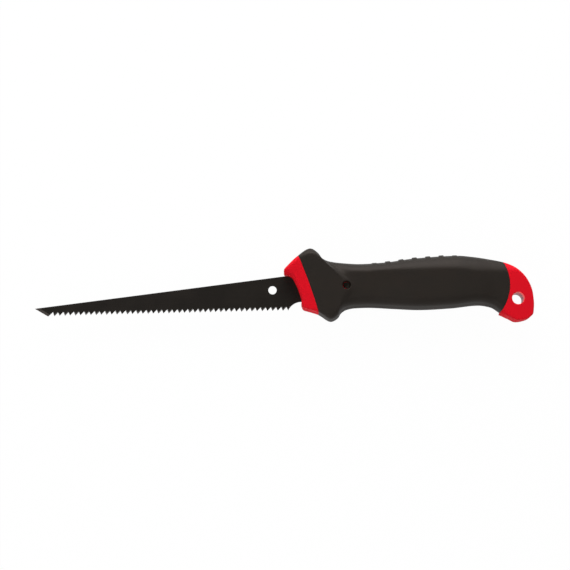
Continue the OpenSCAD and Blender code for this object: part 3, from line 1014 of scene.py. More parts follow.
    def ring(
        self,
        u: float,
        spine: float = 0.0,
        thin: float = 0.0,
        lip: float = 0.0,
        inset: float = 0.0,
        flash: float = 0.0,
    ) -> np.ndarray:
        """One closed ring of points round the handle.

        Args:
            u: The station.
            spine: 1 sets the ring in by the rubber's thickness.
            thin: Taken off both flat sides.
            lip: Added along the belly.
            inset: Taken off all round.
            flash: Height of the parting line along the back and the belly.

        Returns:
            The points, in the handle's frame.
        """
        at = self.at
        back_end = np.array([at("top_x", u), at("top_y", u)])
        low_end = np.array([at("low_x", u), at("low_y", u)])
        across = (low_end - back_end) / np.linalg.norm(low_end - back_end)
        set_in = self.skin_edge * spine + inset + flash
        a, b = back_end + across * set_in, low_end - across * set_in
        width = np.linalg.norm(b - a)
        half = at("half", u) - self.skin_side * spine - thin - inset
        back = self.edge(half, at("back_w", u), at("back_drop", u), at("crown", u), self.BEVEL_POWER)
        belly = self.edge(half, at("belly_w", u), at("belly_w", u), at("crown", u), self.ROUND_POWER)
        belly[:, 0] = width - belly[:, 0]
        share = np.maximum(0, 1 - np.arange(len(belly)) / len(belly))
        belly[:, 0] += lip * share
        depths = np.linspace(back[-1, 0], belly[-1, 0], self.FLAT_STEPS + 1)[1:-1]
        flat = np.column_stack([depths, np.full(len(depths), half)])
        upper = self.eased(np.vstack([back, flat, belly[::-1]]))
        tuck = self.wall_point(upper, self.FLASH_W)
        low_tuck = self.wall_point(upper[::-1], self.FLASH_W)
        upper[0, 0] -= flash
        upper[-1, 0] += flash
        upper = np.vstack([upper[:1], tuck, upper[1:-1], low_tuck, upper[-1:]])
        lower = upper[-2:0:-1] * [1, -1]
        full = np.vstack([upper, lower])
        return self.crossed(u, full[:, 0] / width, full[:, 1], a, b)

    def wall_point(self, line: np.ndarray, height: float) -> np.ndarray:
        """The point of an edge line's wall at a height above the parting line."""
        wall = line[: self.WALL_STEPS]
        return np.array([[np.interp(height, wall[:, 1], wall[:, 0]), height]])

    def eased(self, line: np.ndarray) -> np.ndarray:
        """Eases the joins of a line that meets its own mirror image at both ends.

        Args:
            line: The line's points.

        Returns:
            The eased points.
        """
        for _ in range(self.EASE_PASSES):
            before = np.vstack([line[1] * [1, -1], line[:-1]])
            after = np.vstack([line[1:], line[-2] * [1, -1]])
            line = (before + 2 * line + after) / 4
            line[0, 1] = line[-1, 1] = 0
        return line

    def crossed(self, u: float, v: np.ndarray, z: np.ndarray, a: np.ndarray, b: np.ndarray) -> np.ndarray:
        """Puts points on station u's cross line, which swings back between its ends.

        Args:
            u: The station.
            v: Shares of the way from the back to the belly.
            z: Heights.
            a: The cross line's end on the back.
            b: Its end on the belly.

        Returns:
            The points.
        """
        x = a[0] + (b[0] - a[0]) * v
        y = a[1] + (b[1] - a[1]) * v
        x = x + 4 * v * (1 - v) * self.at("bow", u) + np.sin(math.pi * v) ** 2 * self.at("vee", u)
        x = x + self.scoop * max(0.0, 1 - u) * self.front_depth(v)
        return np.column_stack([x, y, z])

    @cached_property
    def rib_share(self) -> np.ndarray:
        """How fully each point of a ring takes part in a thumb rib.

        Returns:
            1 on the back, falling to 0 on the sides.
        """
        turn = 90 * np.arange(self.CORNER_STEPS + 1) / self.CORNER_STEPS
        fade = np.clip(1 - turn / self.RIB_FADE, 0, 1)
        corner = fade**2 * (3 - 2 * fade)
        rest = np.zeros(self.FLAT_STEPS - 1 + self.CORNER_STEPS + 1 + self.WALL_STEPS + 1)
        upper = np.concatenate([np.ones(self.WALL_STEPS + 1), corner, rest])
        return np.concatenate([upper, upper[-2:0:-1]])

    def rib_lift(self, u: float) -> np.ndarray:
        """The way in which a rib of height 1 would move each point of the ring at station u."""
        back = np.array([self.at("top_x", u), self.at("top_y", u), 0])
        out = back - [self.at("low_x", u), self.at("low_y", u), 0]
        return self.rib_share[:, None] * (out / np.linalg.norm(out))

    @staticmethod
    def rounding(run: float, radius: float) -> float:
        """How far a rounded end of the given radius has drawn in at a run from its end."""
        left = radius - min(run, radius)
        return radius - math.sqrt(radius**2 - left**2)

    @property
    def end_runs(self) -> list[float]:
        """Distances from a rounded end at which rings follow its arc evenly."""
        turns = [math.radians(90 * i / self.END_STEPS) for i in range(self.END_STEPS + 1)]
        return [self.edge_r * (1 - math.cos(turn)) for turn in turns]

    def spine_rings(self) -> list[np.ndarray]:
        """Rings of the hidden spine, from the front seam to the rear one."""
        stations = np.arange(self.SEAM_FRONT, self.SEAM_REAR + self.SPINE_STEP / 2, self.SPINE_STEP)
        return [self.ring(float(u), spine=1.0) for u in stations]


class GeometryRecipe:
    """A geometry tree with named inputs, which is applied to a piece once."""

    KINDS = {int: "NodeSocketInt", float: "NodeSocketFloat", tuple: "NodeSocketVector"}

    def __init__(self, name: str, sizes: dict[str, Any]) -> None:
        """Makes the tree.

        Args:
            name: The tree's name.
            sizes: The named inputs and the values that this object gives them.
        """
        self.tree = bpy.data.node_groups.new(name, "GeometryNodeTree")
        self.sheet = NodeSheet(self.tree)
        self.sizes = sizes
        face = self.tree.interface
        face.new_socket("Geometry", in_out="INPUT", socket_type="NodeSocketGeometry")
        face.new_socket("Geometry", in_out="OUTPUT", socket_type="NodeSocketGeometry")
        self.identifiers = {}
        for label, value in sizes.items():
            made = face.new_socket(label, in_out="INPUT", socket_type=self.KINDS[type(value)])
            self.identifiers[label] = made.identifier
        self.source = self.sheet.node("NodeGroupInput", {}, {})

    @property
    def blank(self) -> bpy.types.NodeSocket:
        """The geometry that comes in."""
        return self.source.outputs["Geometry"]

    def size(self, label: str) -> Term:
        """One named input as a Term."""
        return Term(self.sheet, self.source.outputs[label])

    def vector(self, x: Any, y: Any, z: Any) -> bpy.types.NodeSocket:
        """A vector of three terms or numbers."""
        return self.sheet.node("ShaderNodeCombineXYZ", {}, {0: x, 1: y, 2: z}).outputs[0]

    def named(self, attribute: str, kind: str) -> Any:
        """Reads a named attribute of the geometry.

        Args:
            attribute: The attribute's name.
            kind: Its data type.

        Returns:
            A socket for vectors, or a Term for numbers.
        """
        inputs = {"Name": attribute}
        made = self.sheet.node("GeometryNodeInputNamedAttribute", {"data_type": kind}, inputs)
        found = made.outputs["Attribute"]
        return found if kind == "FLOAT_VECTOR" else Term(self.sheet, found)

    def close(self, shape: bpy.types.NodeSocket, material: bpy.types.Material) -> None:
        """Ends the tree in Realize Instances and Set Material.

        Args:
            shape: The finished geometry.
            material: The finish that it takes.
        """
        real = self.sheet.node("GeometryNodeRealizeInstances", {}, {"Geometry": shape})
        dressed = self.sheet.node(
            "GeometryNodeSetMaterial", {}, {"Geometry": real.outputs[0], "Material": material}
        )
        self.sheet.node("NodeGroupOutput", {}, {0: dressed.outputs[0]})

    def apply(self, piece: bpy.types.Object) -> None:
        """Runs the tree on a piece and leaves a plain mesh.

        Args:
            piece: The piece.
        """
        run = piece.modifiers.new(self.tree.name, "NODES")
        run.node_group = self.tree
        for label, value in self.sizes.items():
            run[self.identifiers[label]] = value
        MeshWork.settle(piece)


# ---- Sub-assemblies ----


def mount(name: str) -> dict[str, Any]:
    """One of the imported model's mounts."""
    return next(m for m in frame["record"]["mounts"] if m["name"] == name)


@dataclass(frozen=True)
class Blade:
    """Push-cut plate with a ground plunge tip, alternately ground teeth and a tang.

    Its sizes are in millimetres from the collar's front, and its angles in degrees.
    """

    placing: Placing
    plate: float
    reach: float
    tang_reach: float
    hole: Vector
    hole_r: float
    pin: Vector
    pin_r: float
    back_y: float = 5.4
    tip_h: float = 4.8
    tip_angle: float = 31.0
    tip_bevel: float = 1.6
    edge_land: float = 0.3
    tooth_pitch: float = 3.11
    tooth_depth: float = 2.65
    tooth_rake: float = 18.0
    row_slope: float = 1.35
    last_tooth_x: float = 1.8
    last_tooth_y: float = 15.4
    heel_r: float = 8.8
    tang_bottom: float = 10.0
    tang_end_h: float = 9.0
    fleam: float = 22.0
    gullet_floor: float = 0.16
    edge_break: float = 0.18
    hole_ease: float = 0.2
    bore_ease: float = 0.1

    # Points of the round relief behind the last tooth
    HEEL_STEPS = 14
    # Two edges whose directions cross less than this run in one line
    IN_LINE = 1e-3
    # How far a gullet's cutter goes past the tooth points, and its half height in plates
    CUT_PAST = 1.3
    CUT_THROUGH = 1.2

    @classmethod
    def from_frame(cls, placing: Placing) -> "Blade":
        """Takes the plate's thickness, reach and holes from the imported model.

        Args:
            placing: Where the handle's frame lies.

        Returns:
            The blade.
        """
        low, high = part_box("blade")
        pin_low, pin_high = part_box("tang_pin")
        hole = mount("blade_hole")
        return cls(
            placing=placing,
            plate=(high.z - low.z) / MM,
            reach=-placing.local(low).x,
            tang_reach=placing.local(high).x,
            hole=Vector(hole["pos_m"]),
            hole_r=hole["dims"]["r_mm"],
            pin=(pin_low + pin_high) / 2,
            pin_r=(pin_high.x - pin_low.x) / 2 / MM + HOLD_GAP,
        )

    def row_y(self, x: float) -> float:
        """Height of the line through the tooth points at x."""
        return -self.last_tooth_y + (x - self.last_tooth_x) * math.tan(math.radians(self.row_slope))

    @property
    def tip(self) -> Point:
        """The blade's point."""
        return (-self.reach, self.row_y(-self.reach) + self.tip_h)

    @property
    def corner(self) -> Point:
        """Where the ground tip meets the tooth row."""
        x = self.tip[0] + self.tip_h / math.tan(math.radians(self.tip_angle))
        return (x, self.row_y(x))

    @property
    def tooth_count(self) -> int:
        """How many teeth fit in the row."""
        return math.floor((self.last_tooth_x - self.corner[0]) / self.tooth_pitch)

    @property
    def rake_run(self) -> float:
        """How far a gullet's floor lies in front of its tooth's point."""
        return self.tooth_depth * math.tan(math.radians(self.tooth_rake))

    def outline(self) -> tuple[list[Point], list[float]]:
        """The blank's outline before its gullets are cut.

        Returns:
            The points, and how far the edge that starts at each of them is broken.
        """
        first = self.last_tooth_x - (self.tooth_count - 1) * self.tooth_pitch
        points = [self.tip, self.corner]
        points.append((first - self.rake_run, self.row_y(first) + self.tooth_depth))
        points.append((first, self.row_y(first)))
        points.append((self.last_tooth_x, -self.last_tooth_y))
        sharp = len(points)
        heel_y = -self.tang_bottom - self.heel_r
        above = -self.last_tooth_y - heel_y
        heel_x = self.last_tooth_x + math.sqrt(self.heel_r**2 - above**2)
        start = math.atan2(above, self.last_tooth_x - heel_x)
        for i in range(1, self.HEEL_STEPS + 1):
            a = start + (math.pi / 2 - start) * i / self.HEEL_STEPS
            points.append((heel_x + self.heel_r * math.cos(a), heel_y + self.heel_r * math.sin(a)))
        pin = self.placing.local(self.pin)
        points.append((pin.x, -self.tang_bottom))
        points.append((self.tang_reach, pin.y - self.tang_end_h / 2))
        points.append((self.tang_reach, pin.y + self.tang_end_h / 2))
        points.append((pin.x, self.back_y))
        points.append((0.0, self.back_y))
        breaks = [0.0] * (sharp - 1) + [self.edge_break] * (len(points) - sharp + 1)
        return points, breaks

    @classmethod
    def drawn_in(cls, points: Sequence[Point], breaks: Sequence[float]) -> list[Point]:
        """Moves each edge of a loop inwards by its own distance.

        Args:
            points: The loop's corners.
            breaks: How far the edge that starts at each corner moves.

        Returns:
            The new corners.
        """
        moved = []
        for i, corner in enumerate(points):
            rows, gaps = [], []
            for j in (i - 1, i):
                a, b = Vector(points[j]), Vector(points[(j + 1) % len(points)])
                way = (b - a).normalized()
                rows.append((-way.y, way.x))
                gaps.append(breaks[j])
            if abs(np.linalg.det(rows)) < cls.IN_LINE:
                shift = np.array(rows[1]) * gaps[1]
            else:
                shift = np.linalg.solve(rows, gaps)
            moved.append((corner[0] + shift[0], corner[1] + shift[1]))
        return moved

    def blank(self) -> bpy.types.Object:
        """The plate with its back edge broken, its holes drilled and its tip ground.

        Returns:
            The piece, still without its gullets.
        """
        outer, breaks = self.outline()
        inner = self.drawn_in(outer, breaks)
        half = self.plate / 2
        flank = half - self.edge_break
        layers = ((inner, -half), (outer, -flank), (outer, flank), (inner, half))
        piece = MeshWork.stack("blade_plate", [self.placing.layer(loop, z) for loop, z in layers])
        holes = [
            MeshWork.eased_hole(piece, self.hole, self.hole_r * MM, self.hole_ease * MM),
            MeshWork.eased_hole(piece, self.pin, self.pin_r * MM, self.bore_ease * MM),
        ]
        MeshWork.carve(piece, holes)
        self.grind_tip(piece)
        return piece

    def grind_tip(self, piece: bpy.types.Object) -> None:
        """Grinds both sides of the slanted tip and marks the ground faces.

        Args:
            piece: The plate.
        """
        way = math.radians(self.tip_angle)
        slope = math.atan((self.plate - self.edge_land) / 2 / self.tip_bevel)
        inward = Vector((math.sin(way), math.cos(way), 0))
        bm = bmesh.new()
        bm.from_mesh(piece.data)
        mark = bm.faces.layers.float.new("ground")
        for side in (-1, 1):
            place = Vector(self.placing.row([*self.tip, side * self.edge_land / 2]))
            facing = Vector((0, 0, side * math.cos(slope))) - inward * math.sin(slope)
            geometry = [*bm.verts, *bm.edges, *bm.faces]
            cut = bmesh.ops.bisect_plane(
                bm, geom=geometry, plane_co=place, plane_no=facing, clear_outer=True, dist=1e-7
            )
            seam = [e for e in cut["geom_cut"] if isinstance(e, bmesh.types.BMEdge)]
            for face in bmesh.ops.edgenet_fill(bm, edges=seam)["faces"]:
                face[mark] = 1.0
        bmesh.ops.recalc_face_normals(bm, faces=bm.faces)
        bm.to_mesh(piece.data)
        bm.free()

    def gullet_cutter(self, recipe: GeometryRecipe) -> bpy.types.Node:
        """Adds the nodes of one gullet's cutter: a prism through the plate, with its sides marked ground.

        Args:
            recipe: The tree that cuts the gullets.

        Returns:
            The last of the nodes.
        """
        sheet = recipe.sheet
        pitch, depth, run = recipe.size("Pitch"), recipe.size("Depth"), recipe.size("Rake Run")
        half_floor = recipe.size("Floor") / 2
        widened = recipe.size("Plate") / 2 * recipe.size("Fleam").tangent()
        past, deep = self.CUT_PAST, recipe.size("Plate") * -self.CUT_THROUGH
        corners = {
            "Point 1": recipe.vector(0.0 - half_floor, 0.0, 0.0),
            "Point 2": recipe.vector(half_floor, 0.0, 0.0),
            "Point 3": recipe.vector((run + widened) * past, depth * -past, 0.0),
            "Point 4": recipe.vector((run - pitch - widened) * past, depth * -past, 0.0),
        }
        curve = sheet.node("GeometryNodeCurvePrimitiveQuadrilateral", {"mode": "POINTS"}, corners)
        base = sheet.node("GeometryNodeFillCurve", {"mode": "NGONS"}, {"Curve": curve.outputs[0]})
        raised = {"Mesh": base.outputs[0], "Offset": (0.0, 0.0, 1.0), "Offset Scale": deep * -2}
        walls = sheet.node("GeometryNodeExtrudeMesh", {"mode": "FACES"}, {**raised, "Individual": False})
        under = sheet.node("GeometryNodeFlipFaces", {}, {"Mesh": base.outputs[0]})
        joined = sheet.node("GeometryNodeJoinGeometry", {}, {})
        sheet.fill(joined.inputs[0], walls.outputs["Mesh"])
        sheet.fill(joined.inputs[0], under.outputs[0])
        closed = {"Geometry": joined.outputs[0], "Distance": 1e-6}
        closed = sheet.node("GeometryNodeMergeByDistance", {}, closed)
        centred = {"Geometry": closed.outputs[0], "Translation": recipe.vector(0.0, 0.0, deep)}
        centred = sheet.node("GeometryNodeTransform", {}, centred)
        return sheet.node(
            "GeometryNodeStoreNamedAttribute",
            {"data_type": "FLOAT", "domain": "FACE"},
            {"Geometry": centred.outputs[0], "Name": "ground", "Value": 1.0},
        )

    def gullets(self, steel: bpy.types.Material) -> GeometryRecipe:
        """The tree that cuts the row of gullets, each turned the other way from the last.

        Args:
            steel: The finish.

        Returns:
            The tree.
        """
        second = self.last_tooth_x - (self.tooth_count - 2) * self.tooth_pitch
        floor = (second - self.rake_run, self.row_y(second) + self.tooth_depth, 0)
        recipe = GeometryRecipe(
            "alternate_gullets",
            {
                "Count": self.tooth_count - 1,
                "Pitch": self.tooth_pitch * MM,
                "First Gullet": tuple(self.placing.row(floor)),
                "Row Slope": math.radians(self.row_slope),
                "Fleam": math.radians(self.fleam),
                "Depth": self.tooth_depth * MM,
                "Rake Run": self.rake_run * MM,
                "Plate": self.plate * MM,
                "Floor": self.gullet_floor * MM,
            },
        )
        sheet = recipe.sheet
        cutter = self.gullet_cutter(recipe)
        pitch = recipe.size("Pitch")
        step = recipe.vector(pitch, pitch * recipe.size("Row Slope"), 0.0)
        line = sheet.node(
            "GeometryNodeMeshLine",
            {"mode": "OFFSET"},
            {"Count": recipe.size("Count"), "Start Location": recipe.size("First Gullet"), "Offset": step},
        )
        index = sheet.term("GeometryNodeInputIndex", {}, {})
        swing = (index % 2.0 * 2.0 - 1.0) * recipe.size("Fleam")
        angles = recipe.vector(0.0, swing, recipe.size("Row Slope"))
        turn = sheet.node("FunctionNodeEulerToRotation", {}, {0: angles})
        row = sheet.node(
            "GeometryNodeInstanceOnPoints",
            {},
            {"Points": line.outputs[0], "Instance": cutter.outputs[0], "Rotation": turn.outputs[0]},
        )
        solid = sheet.node("GeometryNodeRealizeInstances", {}, {"Geometry": row.outputs[0]})
        cut = sheet.node(
            "GeometryNodeMeshBoolean",
            {"operation": "DIFFERENCE", "solver": "EXACT"},
            {"Mesh 1": recipe.blank, "Mesh 2": solid.outputs[0], "Self Intersection": True},
        )
        recipe.close(cut.outputs["Mesh"], steel)
        return recipe

    def build(self, steel: bpy.types.Material) -> bpy.types.Object:
        """Makes the blade.

        Args:
            steel: The finish.

        Returns:
            The piece.
        """
        piece = self.blank()
        self.gullets(steel).apply(piece)
        MeshWork.shade(piece, flat_sides=True)
        return piece


@dataclass(frozen=True)
class HandleCore:
    """Hard core: the collar and the butt that show, and the spine between them, in millimetres."""

    placing: Placing
    form: HandleForm
    blade: Blade
    hang_hole: Vector
    hang_r: float
    hang_ease: float = 0.4
    seam_ease: float = 0.22
    bore_ease: float = 0.02
    nose_ease: float = 0.8
    ring_gap: float = 0.8

    # How much closer the butt's rings lie, and the room kept in front of a seam's or an end's rings
    BUTT_FINENESS = 1.5
    FRONT_ROOM = 1.0
    BUTT_ROOM = 0.5
    END_ROOM = 0.01

    @classmethod
    def from_frame(cls, placing: Placing, form: HandleForm, blade: Blade) -> "HandleCore":
        """Takes the hang hole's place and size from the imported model."""
        hole = mount("hang_hole")
        return cls(placing, form, blade, Vector(hole["pos_m"]), hole["dims"]["r_mm"])

    def rings(self) -> list[np.ndarray]:
        """Rings from the collar's front, over the hidden spine, to the butt's end.

        Returns:
            The rings, in the handle's frame.
        """
        form = self.form
        back, under = form.spans
        seam_run = (back[0] + under[0]) / 2
        runs = form.end_runs
        runs += list(np.arange(form.edge_r + self.ring_gap, seam_run - self.FRONT_ROOM, self.ring_gap))
        runs += [seam_run - self.seam_ease * k for k in (form.SEAM_LEAD, *form.SEAM_STEPS[::-1])]
        rings = []
        for run in runs:
            nose = form.rounding(run, self.nose_ease)
            seam = form.rounding(seam_run - run, self.seam_ease)
            thin = form.rounding(run, form.edge_r) - nose
            rings.append(form.ring(run / seam_run, thin=thin, inset=nose + seam, flash=form.FLASH_H))
        return rings + form.spine_rings() + self.butt_rings()

    def butt_rings(self) -> list[np.ndarray]:
        """Rings of the butt, from its seam to its rounded end.

        Returns:
            The rings, in the handle's frame.
        """
        form = self.form
        back, _ = form.spans
        gap = self.ring_gap / self.BUTT_FINENESS
        rings = []
        for i in range(form.SEAM_REAR, form.LAST):
            span = back[i]
            first, last = i == form.SEAM_REAR, i == form.LAST - 1
            runs = list(np.arange(0, span - (form.edge_r if last else 0) - self.END_ROOM, gap))
            if first:
                eased = [self.seam_ease * k for k in form.SEAM_STEPS]
                runs = eased + [run for run in runs if run > self.BUTT_ROOM]
            if last:
                runs += [span - run for run in form.end_runs[::-1]]
            for run in runs:
                u = i + run / span
                inset = form.rounding(run if first else self.seam_ease, self.seam_ease)
                thin = form.rounding(span - run, form.edge_r) if last else 0.0
                lip = form.butt_lip * max(0.0, 1 - (u - form.SEAM_REAR))
                rings.append(form.ring(u, thin=thin, lip=lip, inset=inset, flash=form.FLASH_H))
        return rings

    def slot_cutter(self) -> bpy.types.Object:
        """A cutter for the slot that holds the tang.

        Returns:
            The cutter.
        """
        blade, gap = self.blade, HOLD_GAP
        pin = self.placing.local(blade.pin)
        far = blade.tang_reach + gap
        loop = [
            (-self.form.collar_l, -blade.tang_bottom - gap),
            (pin.x, -blade.tang_bottom - gap),
            (far, pin.y - blade.tang_end_h / 2 - gap),
            (far, pin.y + blade.tang_end_h / 2 + gap),
            (pin.x, blade.back_y + gap),
            (-self.form.collar_l, blade.back_y + gap),
        ]
        half = blade.plate / 2 + gap
        return MeshWork.stack("slot_cutter", [self.placing.layer(loop, z) for z in (-half, half)])

    def mark_bore(self, mesh: bpy.types.Mesh) -> None:
        """Marks the hang hole's wall, which a polished core pin leaves smooth and on which the plastic's
        finish paints light: a lighter, pinker red.

        Args:
            mesh: The core's mesh.
        """
        reach = (self.hang_r + self.hang_ease / 4) * MM
        mark = mesh.attributes.new("cored", "FLOAT", "FACE")
        for face in mesh.polygons:
            near = (face.center - self.hang_hole).xy.length < reach
            mark.data[face.index].value = 1.0 if near else 0.0

    def build(self, plastic: bpy.types.Material) -> bpy.types.Object:
        """Makes the core.

        Args:
            plastic: The finish.

        Returns:
            The piece.
        """
        rings = self.rings()
        size = len(rings[0])
        faces = MeshWork.sweep(rings, closed=False)
        faces += MeshWork.lid(0, size) + MeshWork.lid(len(rings) - 1, size)
        piece = MeshWork.solid("core_shell", self.placing.row(np.vstack(rings)), faces)
        pin_r = self.blade.pin_r * MM
        cutters = [
            MeshWork.eased_hole(piece, self.hang_hole, self.hang_r * MM, self.hang_ease * MM),
            MeshWork.eased_hole(piece, self.blade.pin, pin_r, self.bore_ease * MM, PIN_SIDES),
            self.slot_cutter(),
        ]
        MeshWork.carve(piece, cutters)
        self.mark_bore(piece.data)
        piece.data.materials.append(plastic)
        MeshWork.shade(piece)
        return piece


@dataclass(frozen=True)
class SoftGrip:
    """Soft sleeve over the spine, with guard lobes, thumb ribs and the pin's access holes.

    Its sizes are in millimetres, and its rings are placed from the collar's front.
    """

    placing: Placing
    form: HandleForm
    pin: Vector
    access_r: float = 2.6
    access_ease: float = 0.2
    waist_r: float = 2.02
    waist_z: float = 9.6
    seam_ease: float = 0.25
    ring_gap: float = 0.75
    rib_count: int = 7
    rib_pitch: float = 8.05
    rib_h: float = 0.6
    rib_end_h: float = 0.3
    rib_l: float = 3.3
    rib_slope: float = 0.5
    rib_mid_x: float = 77.5

    # Steps of the arc at a seam, and the room kept behind it
    SEAM_TURNS = 4
    SEAM_ROOM = 0.3
    # Room kept beside the ribbed stretch, in stations
    RIB_ROOM = 0.02
    # Rings outside a rib's foot, on its slope (in slopes inwards from the foot) and beside its middle
    FOOT_RINGS = (0.15, 0.02)
    SLOPE_RINGS = (0.2, 0.4, 0.6, 0.8, 1.0, 1.3)
    MIDDLE_RING = 0.5
    # Rings in a groove: from either foot, and in front of the groove's middle
    GROOVE_RINGS = (0.9, 0.6)
    # Rings in front of the first rib's middle
    LEAD_RINGS = (3.2, 2.4)

    @property
    def first_rib(self) -> float:
        """The place of the first rib's middle."""
        return self.rib_mid_x - (self.rib_count - 1) / 2 * self.rib_pitch

    def rib_places(self) -> list[float]:
        """Places of the rings that carry the ribs.

        Returns:
            Distances from the collar's front.
        """
        foot = self.rib_l / 2
        side = [foot + d for d in self.FOOT_RINGS] + [foot - self.rib_slope * k for k in self.SLOPE_RINGS]
        side.append(self.MIDDLE_RING)
        from_foot, from_middle = self.GROOVE_RINGS
        offsets = sorted([-d for d in side] + [0.0] + side)
        offsets += [foot + from_foot, self.rib_pitch / 2 - from_middle, self.rib_pitch - foot - from_foot]
        places = [self.first_rib - d for d in self.LEAD_RINGS]
        for i in range(self.rib_count):
            places += [self.first_rib + i * self.rib_pitch + d for d in offsets]
        return places

    def stations(self) -> list[tuple[float, float]]:
        """Stations of the outer rings.

        Returns:
            Each station with how far its ring draws in at a seam.
        """
        form = self.form
        back, under = form.spans
        front_span, rear_span = back[form.SEAM_FRONT], back[form.SEAM_REAR - 1]
        turns = [math.radians(90 * i / self.SEAM_TURNS) for i in range(self.SEAM_TURNS + 1)]
        ends = [(self.seam_ease * (1 - math.cos(t)), self.seam_ease * (1 - math.sin(t))) for t in turns]
        front = [(form.SEAM_FRONT + run / front_span, inset) for run, inset in ends]
        rear = [(form.SEAM_REAR - run / rear_span, inset) for run, inset in ends[::-1]]
        rib_from = form.station_at(self.first_rib - self.rib_pitch / 2)
        rib_to = form.station_at(self.first_rib + (self.rib_count - 0.5) * self.rib_pitch)
        plain_from = form.SEAM_FRONT + self.SEAM_ROOM / front_span + self.seam_ease
        plain_to = form.SEAM_REAR - self.SEAM_ROOM / rear_span - self.seam_ease
        plain = []
        for i in range(form.SEAM_FRONT, form.SEAM_REAR):
            pieces = math.ceil(max(back[i], under[i]) / self.ring_gap)
            plain += [i + k / pieces for k in range(pieces)]
        plain = [u for u in plain if plain_from < u < plain_to]
        plain = [u for u in plain if not rib_from - self.RIB_ROOM < u < rib_to + self.RIB_ROOM]
        ribbed = [form.station_at(x) for x in self.rib_places()]
        ribbed = [u for u in ribbed if rib_from <= u <= rib_to]
        return front + sorted([(u, 0.0) for u in plain + ribbed]) + rear

    def ribs(self, rubber: bpy.types.Material) -> GeometryRecipe:
        """The tree that raises the thumb ribs along the back.

        Args:
            rubber: The finish.

        Returns:
            The tree.
        """
        recipe = GeometryRecipe(
            "thumb_ribs",
            {
                "Count": self.rib_count,
                "First Rib": self.first_rib * MM,
                "Pitch": self.rib_pitch * MM,
                "Height": self.rib_h * MM,
                "End Height": self.rib_end_h * MM,
                "Length": self.rib_l * MM,
                "Slope": self.rib_slope * MM,
            },
        )
        run = recipe.named("rib_run", "FLOAT") - recipe.size("First Rib")
        pitch, foot = recipe.size("Pitch"), recipe.size("Length") / 2
        nearest = (run / pitch).nearest().most(0.0).least(recipe.size("Count") - 1.0)
        away = (run - nearest * pitch).magnitude()
        # 0 at the first and the last rib, 1 between them
        inner = nearest.least(recipe.size("Count") - 1.0 - nearest).least(1.0)
        end_height = recipe.size("End Height")
        full = end_height + (recipe.size("Height") - end_height) * inner
        height = (1.0 - away.ease(foot - recipe.size("Slope"), foot)) * full
        inputs = {0: recipe.named("rib_lift", "FLOAT_VECTOR"), "Scale": height}
        lift = recipe.sheet.node("ShaderNodeVectorMath", {"operation": "SCALE"}, inputs)
        raised = recipe.sheet.node(
            "GeometryNodeSetPosition", {}, {"Geometry": recipe.blank, "Offset": lift.outputs[0]}
        )
        recipe.close(raised.outputs[0], rubber)
        return recipe

    def build(self, rubber: bpy.types.Material) -> bpy.types.Object:
        """Makes the grip.

        Args:
            rubber: The finish.

        Returns:
            The piece.
        """
        form = self.form
        outer = self.stations()
        rings = [form.ring(u, inset=inset, flash=form.FLASH_H) for u, inset in outer]
        lifts = [form.rib_lift(u) for u, _ in outer]
        runs = [np.full(len(rings[0]), form.at("top_x", u)) for u, _ in outer]
        for ring in form.spine_rings()[::-1]:
            rings.append(ring)
            lifts.append(np.zeros_like(lifts[0]))
            runs.append(np.zeros_like(runs[0]))
        faces = MeshWork.sweep(rings, closed=True)
        piece = MeshWork.solid("grip_sleeve", self.placing.row(np.vstack(rings)), faces)
        mesh = piece.data
        lift = mesh.attributes.new("rib_lift", "FLOAT_VECTOR", "POINT")
        lift.data.foreach_set("vector", np.vstack(lifts).astype(np.float32).ravel())
        run = mesh.attributes.new("rib_run", "FLOAT", "POINT")
        run.data.foreach_set("value", (np.concatenate(runs) * MM).astype(np.float32))
        self.ribs(rubber).apply(piece)
        for name in ("rib_lift", "rib_run"):
            piece.data.attributes.remove(piece.data.attributes[name])
        waist = (self.waist_r * MM, self.waist_z * MM)
        hole = MeshWork.eased_hole(piece, self.pin, self.access_r * MM, self.access_ease * MM, waist=waist)
        MeshWork.carve(piece, [hole])
        MeshWork.shade(piece)
        return piece


@dataclass(frozen=True)
class TangPin:
    """Turned pin that ties the tang to the core. Its corners are in metres, its cuts in millimetres."""

    low: Vector
    high: Vector
    chamfer: float = 0.12
    dimple_r: float = 0.55
    dimple_d: float = 0.35
    dimple_point_r: float = 0.02

    def build(self, steel: bpy.types.Material) -> bpy.types.Object:
        """Makes the pin.

        Args:
            steel: The finish.

        Returns:
            The piece.
        """
        centre = (self.low + self.high) / 2
        radius = (self.high.x - self.low.x) / 2
        half = (self.high.z - self.low.z) / 2
        cut, hollow, deep = self.chamfer * MM, self.dimple_r * MM, self.dimple_d * MM
        point = self.dimple_point_r * MM
        end = [(point, half - deep), (hollow, half), (radius - cut, half), (radius, half - cut)]
        profile = [(r, -z) for r, z in end] + end[::-1]
        piece = MeshWork.turned("pin_turned", centre, profile, PIN_SIDES)
        piece.data.materials.append(steel)
        MeshWork.shade(piece)
        return piece


# ---- Studio ----


class Side(Enum):
    """Where a lamp stands, as its azimuth and elevation in degrees, seen from the saw."""

    BEHIND_BACK = (90.0, 27.0)
    BEFORE_TEETH = (240.0, 50.0)

    @property
    def way(self) -> Vector:
        """The unit vector towards the lamp."""
        around, up = (math.radians(a) for a in self.value)
        return Vector((math.cos(around) * math.cos(up), math.sin(around) * math.cos(up), math.sin(up)))


